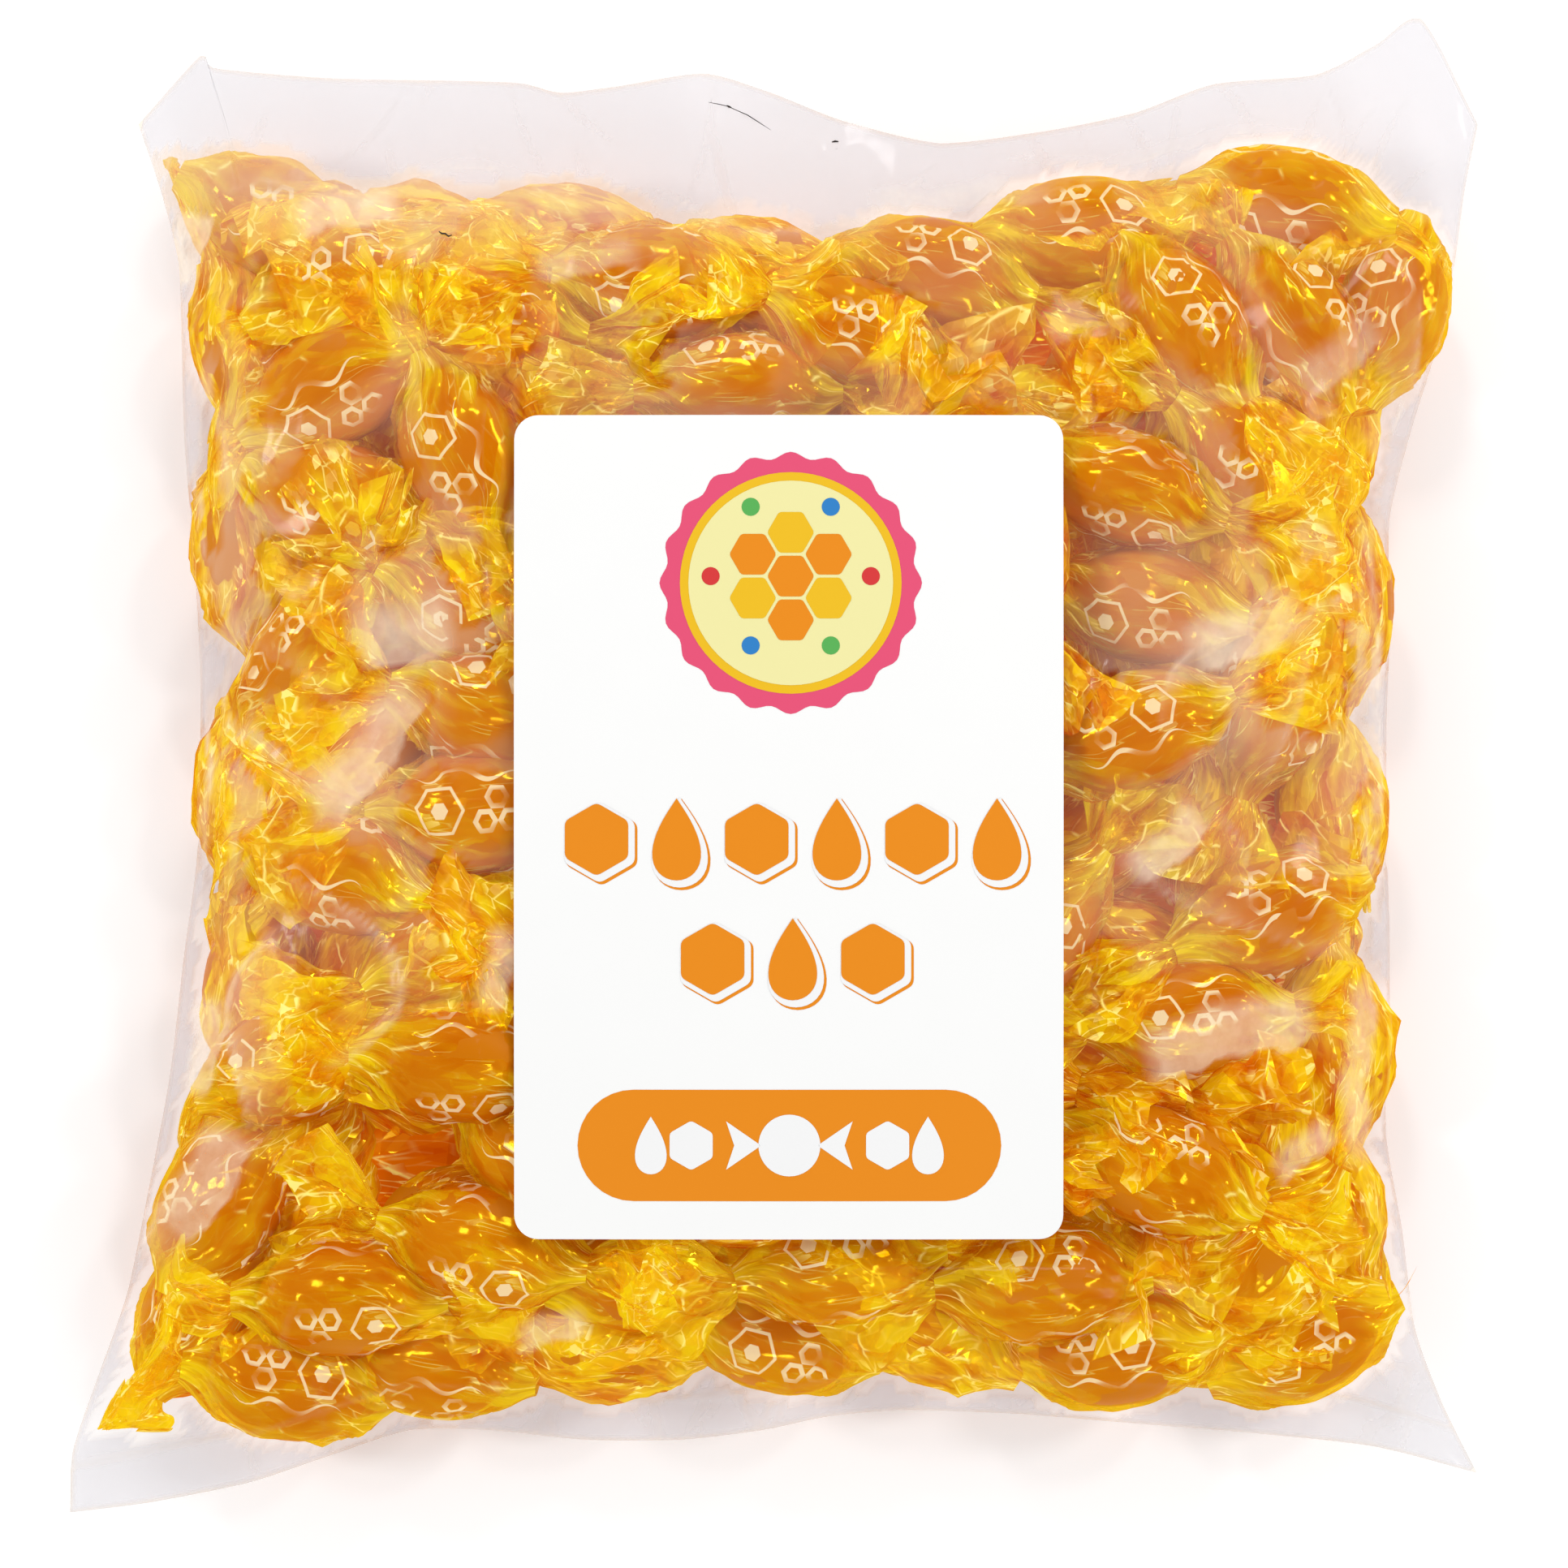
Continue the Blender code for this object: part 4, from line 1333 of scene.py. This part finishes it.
def bagFilm():
    look = Look("clear_film")
    where = look.place()
    spot = look.parts(where)
    across, up = spot.out("X"), spot.out("Y")
    lift, fold = look.painted("lift"), look.painted("fold")
    sockets = {"Value": up, "From Min": filmLook["milkyFrom"] * mm, "From Max": 0.0}
    milky = look.node("ShaderNodeMapRange", {}, sockets)
    milky = milky * (1 - up.above(filmLook["clearerFrom"] * mm, 30) * 0.5)
    milky = milky * (0.7 + abs(across).above(filmLook["milkySides"] * mm, 25) * 0.35)
    patchy = look.noise(where, filmLook["patch"]).above(0.32, 3.2)
    misty = up.above(filmLook["mistFrom"] * mm, 80) * ((filmLook["mistTo"] * mm - across) * 25).clamp()
    veil = lift.clamp() * milky * patchy * filmLook["lifted"] + milky * filmLook["haze"]
    veil = veil + misty * (patchy * 0.6 + 0.4) * filmLook["mist"]
    empty = (lift - 1).clamp()
    # fold: painted highlights and painted reflections on the film
    fold = fold.above(0.05, 1.2) * (0.5 + look.noise(where, filmLook["foldPatch"], 3.0))
    cover = veil + empty * (filmLook["flap"] - veil) + fold * filmLook["fold"]
    colour = look.blend(empty, tone(filmLook["warmVeil"]), tone(filmLook["veil"]))
    lined = fold.clamp()
    colour = look.blend(lined * filmLook["foldLineShare"], colour, tone(filmLook["foldLineAndGlint"]))
    facing = tilted(look, filmLook["rippleTilt"], look.noise(where, filmLook["ripple"], 1.0, "Color"))
    share = filmLook["glareTouching"] + lift.clamp() * (0.2 + milky * 0.65)
    # the fold highlights get a painted glow
    warm, glow = filmLook["foldGlow"]
    lit = look.blend(lined, (0, 0, 0, 1), tone(warm))
    return thinSheet(look, filmLook, cover, colour, glow, facing, share, lit)


def plainFinish(name, code, roughness, grain=0.0, glow=0.0):
    look = Look(name)
    where = look.place()
    base = tone(code)
    darker = tuple(c * plainLook["darker"] for c in base[:3]) + (1.0,)
    sockets = {
        "Base Color": look.blend(look.noise(where, plainLook["mottle"]), darker, base),
        "Roughness": roughness,
        "Emission Color": base,
        "Emission Strength": glow,
    }
    if grain:
        height = look.noise(where, plainLook["grain"], 3.0)
        bump = {"Strength": grain, "Distance": plainLook["grainHeight"] * mm, "Height": height}
        sockets["Normal"] = look.node("ShaderNodeBump", {}, bump)
    return look.finish(look.node("ShaderNodeBsdfPrincipled", {}, sockets))


# Label print: shapes cut from thin ink, which bend with the label

printPlan = {
    "inks": {
        "orange": "F5920F",
        "pink": "F0557C",
        "yellow": "F9C61B",
        "cream": "FBF4AE",
        "white": "FFFFFF",
        "red": "E03A3A",
        "green": "5DB85A",
        "blue": "2F86D0",
    },
    "inkRoughness": 0.42,
    # the paper's glow is a painted glow that keeps it white
    "paper": {"code": "FCFCFB", "roughness": 0.36, "grain": 0.05, "glow": 0.07},
    "paperSharpFrom": 40,
    "cell": 3.0,
    "lift": 0.03,  # from one layer to the next
    # the badge: x, y and radius, from the label's middle, then its lobes, rings, comb and beads
    "badge": (0.3, 36.3, 19.5),
    "badgeLobes": 20,
    "badgeLobeDepth": 0.05,
    "badgeRings": (("yellow", 0.845), ("cream", 0.78)),
    "combUp": 1.0,
    "combHalf": 3.5,
    "combApart": 1.86,
    "beadReach": 11.9,
    "beadRadius": 1.35,
    # the two lines of big shapes: middle x and y, and how many
    "headlines": ((0.4, -1.8, 6), (0.6, -19.6, 3)),
    "hexagonWidth": 11.6,
    "dropWidth": 8.4,
    "dropHeight": 12.9,
    "shapeGap": 1.9,
    # ink, layer, how much it grows and how far it slides
    "headlineInks": (("orange", 1, 0.35, 0.75), ("white", 2, 0.25, 0.45), ("orange", 3, -0.35, 0)),
    # the pill at the foot, with a wrapped sweet, hexagons and drops on it
    "pill": (0.1, -47.3, 63.0, 16.6),
    "pillSweet": 4.6,
    "pillTail": ((4.2, 0), (9.4, 3.6), (8.2, 0), (9.4, -3.6)),
    "pillHexagon": (14.6, 3.7),
    "pillDrop": (20.6, 5.0, 8.6),
}


def ringPoints(cx, cy, radius, count=64, lobes=0, depth=0.0):
    for step in range(count):
        angle = 2 * math.pi * step / count
        reach = radius * (1 - depth * (0.5 - 0.5 * math.cos(lobes * angle)))
        yield cx + reach * math.cos(angle), cy + reach * math.sin(angle)


def hexagonPoints(cx, cy, half, tilt=0.0, corner=0.14):
    # six flat sides with softened corners
    turns = [math.radians(60 * side + tilt) for side in range(6)]
    spots = [(cx + half * math.cos(turn), cy + half * math.sin(turn)) for turn in turns]
    for side, here in enumerate(spots):
        before, after = spots[side - 1], spots[(side + 1) % 6]
        for u in np.linspace(0, 1, 5):
            back, on = corner * (1 - u) ** 2, corner * u**2
            yield tuple(h + back * (b - h) + on * (a - h) for h, b, a in zip(here, before, after))


def dropPoints(cx, cy, width, height):
    # a honey drop: a round foot and a drawn-out tip
    for step in range(40):
        angle = 2 * math.pi * step / 40
        up = -math.cos(angle)
        taper = math.sin(angle) * (0.5 - 0.5 * up) ** 0.55
        yield cx + width / 2 * taper * 1.25, cy + height / 2 * up


def pillPoints(cx, cy, width, height):
    for end in (1, -1):
        middle = cx + end * (width / 2 - height / 2)
        for step in range(17):
            angle = math.radians(-90 + 180 * step / 16)
            yield middle + end * height / 2 * math.cos(angle), cy + end * height / 2 * math.sin(angle)


def roundedPoints(cx, cy, width, height, corner):
    for number, (sideX, sideY) in enumerate([(1, 1), (-1, 1), (-1, -1), (1, -1)]):
        x, y = cx + sideX * (width / 2 - corner), cy + sideY * (height / 2 - corner)
        for step in range(9):
            angle = math.radians(90 * (number + step / 8))
            yield x + corner * math.cos(angle), y + corner * math.sin(angle)


def cutSheet(bm, outline, layer, cell):
    # a flat shape cut into cells, lifted on to the bent label
    shape = bmesh.new()
    outline = list(outline)
    shape.faces.new([shape.verts.new((x, y, 0)) for x, y in outline])
    for axis in (0, 1):
        low, high = min(p[axis] for p in outline), max(p[axis] for p in outline)
        for line in range(1, math.ceil((high - low) / cell)):
            place, normal = [0, 0, 0], [0, 0, 0]
            place[axis] = low + line * (high - low) / math.ceil((high - low) / cell)
            normal[axis] = 1
            everything = shape.verts[:] + shape.edges[:] + shape.faces[:]
            bmesh.ops.bisect_plane(shape, geom=everything, plane_co=place, plane_no=normal)
    for vert in shape.verts:
        x, y = vert.co.x + label["centre"][0], vert.co.y + label["centre"][1]
        vert.co = (x, y, labelTop(x, y) + layer * printPlan["lift"])
    bmesh.ops.recalc_face_normals(shape, faces=shape.faces)
    if sum(face.normal.z for face in shape.faces) < 0:
        bmesh.ops.reverse_faces(shape, faces=shape.faces)
    copied = {vert: bm.verts.new(vert.co) for vert in shape.verts}
    for face in shape.faces:
        bm.faces.new([copied[vert] for vert in face.verts])
    shape.free()


def badgeShapes():
    cx, cy, radius = printPlan["badge"]
    yield "pink", ringPoints(cx, cy, radius, 160, printPlan["badgeLobes"], printPlan["badgeLobeDepth"]), 1
    for layer, (ink, share) in enumerate(printPlan["badgeRings"], 2):
        yield ink, ringPoints(cx, cy, radius * share), layer
    cy, cell = cy + printPlan["combUp"], printPlan["combHalf"]
    yield "orange", hexagonPoints(cx, cy, cell), 4
    reach = cell * printPlan["combApart"]
    for number, ink in enumerate(("orange", "yellow") * 3):
        angle = math.radians(60 * number + 30)
        yield ink, hexagonPoints(cx + reach * math.cos(angle), cy + reach * math.sin(angle), cell), 4
    reach, bead = printPlan["beadReach"], printPlan["beadRadius"]
    for number, ink in enumerate(("red", "blue", "green") * 2):
        angle = math.radians(60 * number)
        yield ink, ringPoints(cx + reach * math.cos(angle), cy + reach * math.sin(angle), bead, 24), 4


def headlineShapes():
    # hexagons and drops by turns, each in three layers
    gap, tall = printPlan["shapeGap"], printPlan["dropHeight"]
    for cx, cy, count in printPlan["headlines"]:
        widths = [printPlan["dropWidth" if number % 2 else "hexagonWidth"] for number in range(count)]
        x = cx - (sum(widths) + gap * (count - 1)) / 2
        for number, width in enumerate(widths):
            middle = x + width / 2
            for ink, layer, grow, slide in printPlan["headlineInks"]:
                if number % 2:
                    shape = dropPoints(middle + slide, cy - slide, width + 2 * grow, tall + 2 * grow)
                else:
                    shape = hexagonPoints(middle + slide, cy - slide, width / 2 + grow, 30)
                yield ink, shape, layer
            x += width + gap


def pillShapes():
    cx, cy, width, height = printPlan["pill"]
    yield "orange", pillPoints(cx, cy, width, height), 1
    yield "white", ringPoints(cx, cy, printPlan["pillSweet"], 40), 2
    hexagonAt, half = printPlan["pillHexagon"]
    dropAt, wide, tall = printPlan["pillDrop"]
    for side in (-1, 1):
        yield "white", [(cx + side * out, cy + up) for out, up in printPlan["pillTail"]], 2
        yield "white", hexagonPoints(cx + side * hexagonAt, cy, half, 30), 2
        yield "white", dropPoints(cx + side * dropAt, cy, wide, tall), 2


def makeLabel():
    bm = bmesh.new()
    outline = list(roundedPoints(0, 0, label["width"], label["height"], label["corner"]))
    cutSheet(bm, outline, 0, printPlan["cell"])
    lifted = bmesh.ops.extrude_face_region(bm, geom=bm.faces[:])
    for item in lifted["geom"]:
        if isinstance(item, bmesh.types.BMVert):
            item.co.z -= label["thickness"]
    bmesh.ops.recalc_face_normals(bm, faces=bm.faces)
    paper = bmPiece("label_paper", bm, plainFinish("label_paper", **printPlan["paper"]))
    paper.data.set_sharp_from_angle(angle=math.radians(printPlan["paperSharpFrom"]))
    rideOnRoot(paper, "label", "label")
    sheets = {}
    for shapes in (badgeShapes, headlineShapes, pillShapes):
        for ink, outline, layer in shapes():
            cutSheet(sheets.setdefault(ink, bmesh.new()), outline, layer, printPlan["cell"])
    for ink, bm in sheets.items():
        material = plainFinish(f"ink_{ink}", printPlan["inks"][ink], printPlan["inkRoughness"])
        rideOnRoot(bmPiece(f"print_{ink}", bm, material), "label")
    print("label printed")


# Building

def makeWraps(depth, sweets, sleeveWrap, twistWrap):
    # the wraps of some of the sweets, and the points that the film then lies on
    fineness, clouds = wrap[depth], []
    made = [
        ("wrap_sleeves", sleeveWrap, wrap["sharpFrom"], makeSleeves(sweets, fineness)),
        ("wrap_twists_right", twistWrap, None, makeFans(1, sweets, fineness)),
        ("wrap_twists_left", twistWrap, None, makeFans(-1, sweets, fineness)),
    ]
    for name, material, crease, (points, faces, sheet, ridgeHighlights) in made:
        outward = np.abs(roomAt(points[:, 0], points[:, 1])).max(0)
        painted = {"ridge": ridgeHighlights, "rim": easeIn((outward - wrap["rimFrom"]) / wrap["rimOver"])}
        piece = addPiece(f"{name}_{depth}", points, faces, material, sheet, not crease, crease, painted)
        rideOnRoot(piece, "bag", clear=True)
        clouds += [points, points[faces].mean(1)]
    return clouds


rideOnRoot(makeSweets(boiledSugar()), "bag", "bag")
sweetX, sweetY, sweetZ = sweetMiddle.T
shows = ceilingAt(sweetX, sweetY) - sweetZ < wrap["showsWithin"]
shows &= ~nearLabel(sweetX, sweetY, wrap["showsUnder"])
print(f"sweets that show: {shows.sum()}")
printedWrap, twistedWrap, deepWrap, bedWrap = map(cellophane, ("printed", "twisted", "deep", "bed"))
clouds = makeWraps("near", np.flatnonzero(shows), printedWrap, twistedWrap)
clouds += makeWraps("deep", np.flatnonzero(~shows), deepWrap, deepWrap)
makeBed(bedWrap)
print("wraps made")
clouds = np.vstack(clouds)
filmMaterial = bagFilm()
frontFilm = makeFilm("film_front", filmMaterial, clouds, highest=True)
backFilm = makeFilm("film_back", filmMaterial, clouds, highest=False)
rideOnRoot(frontFilm, "bag", clear=True)
rideOnRoot(backFilm, "bag", clear=True)
rideOnRoot(makeSpecks(frontFilm), "bag")
print("film drawn")
makeLabel()


# Studio

studio = {
    "frameWidth": 235.6,
    "middle": (1.6, -2.7, 16.0),
    "lens": 250.0,
    "sensor": 36.0,
    "floor": {"code": "FFFFFF", "roughness": 0.75, "glow": 0.2},
    "floorHalf": 2200,
    "floorCells": 24,
    "floorDrop": 0.05,
    "skyLight": (0.06, 0.85),  # from straight up and from near the horizon
    "skyFrom": (0.95, 0.6),  # how far up the sky those two begin
    "lamps": (  # name, place in mm, size in mm, power
        ("left_lamp", (-560, 60, 520), 120, 0.94),
        ("right_lamp", (540, 180, 520), 120, 0.89),
        ("far_lamp", (-100, 640, 560), 120, 0.92),
        ("near_lamp", (160, -600, 560), 120, 0.73),
        ("far_right_lamp", (420, 480, 700), 100, 0.74),
    ),
    "bounces": {
        "transparent_max_bounces": 16,
        "max_bounces": 4,
        "diffuse_bounces": 2,
        "glossy_bounces": 1,
    },
}


def makeFloor():
    bm = bmesh.new()
    cells = studio["floorCells"]
    bmesh.ops.create_grid(bm, x_segments=cells, y_segments=cells, size=studio["floorHalf"])
    for vert in bm.verts:
        vert.co.z = -studio["floorDrop"]
    floor = bmPiece("studio_floor", bm, plainFinish("studio_floor", **studio["floor"]))


def makeSky():
    # bright near the horizon and dim overhead, so that the glossy sheets don't mirror white
    world = bpy.data.worlds.new("studio_light")
    world.use_nodes = True
    links, nodes = world.node_tree.links, world.node_tree.nodes
    kinds = ("ShaderNodeTexCoord", "ShaderNodeSeparateXYZ", "ShaderNodeMapRange")
    facing, split, ramp = map(nodes.new, kinds)
    links.new(facing.outputs["Generated"], split.inputs[0])
    links.new(split.outputs["Z"], ramp.inputs["Value"])
    values = (*studio["skyFrom"], *studio["skyLight"])
    for socket, value in zip(("From Min", "From Max", "To Min", "To Max"), values):
        ramp.inputs[socket].default_value = value
    links.new(ramp.outputs[0], nodes["Background"].inputs["Strength"])
    nodes["Background"].inputs["Color"].default_value = (1.0, 1.0, 1.0, 1.0)
    world.cycles.sampling_method = "NONE"
    bpy.context.scene.world = world


def makeLamps(middle):
    for name, place, size, power in studio["lamps"]:
        lamp = bpy.data.lights.new(name, "AREA")
        lamp.shape = "SQUARE"
        lamp.size = size * mm
        lamp.energy = power
        holder = bpy.data.objects.new(name, lamp)
        holder.location = np.array(place) * mm
        aim = middle - np.array(place) * mm
        holder.rotation_euler = Vector(aim).to_track_quat("-Z", "Y").to_euler()
        bpy.context.scene.collection.objects.link(holder)


def makeCamera(middle):
    camera = bpy.data.cameras.new("camera")
    camera.lens = studio["lens"]
    camera.sensor_width = studio["sensor"]
    holder = bpy.data.objects.new("camera", camera)
    distance = studio["frameWidth"] * mm * camera.lens / camera.sensor_width
    holder.location = (middle[0], middle[1], middle[2] + distance)
    bpy.context.scene.collection.objects.link(holder)
    bpy.context.scene.camera = holder


def makeStudio():
    scene, middle = bpy.context.scene, np.array(studio["middle"]) * mm
    makeFloor()
    makeSky()
    makeLamps(middle)
    makeCamera(middle)
    scene.view_settings.view_transform = "Standard"
    scene.cycles.use_light_tree = False
    for setting, value in studio["bounces"].items():
        setattr(scene.cycles, setting, value)
    print("studio made")


makeStudio()
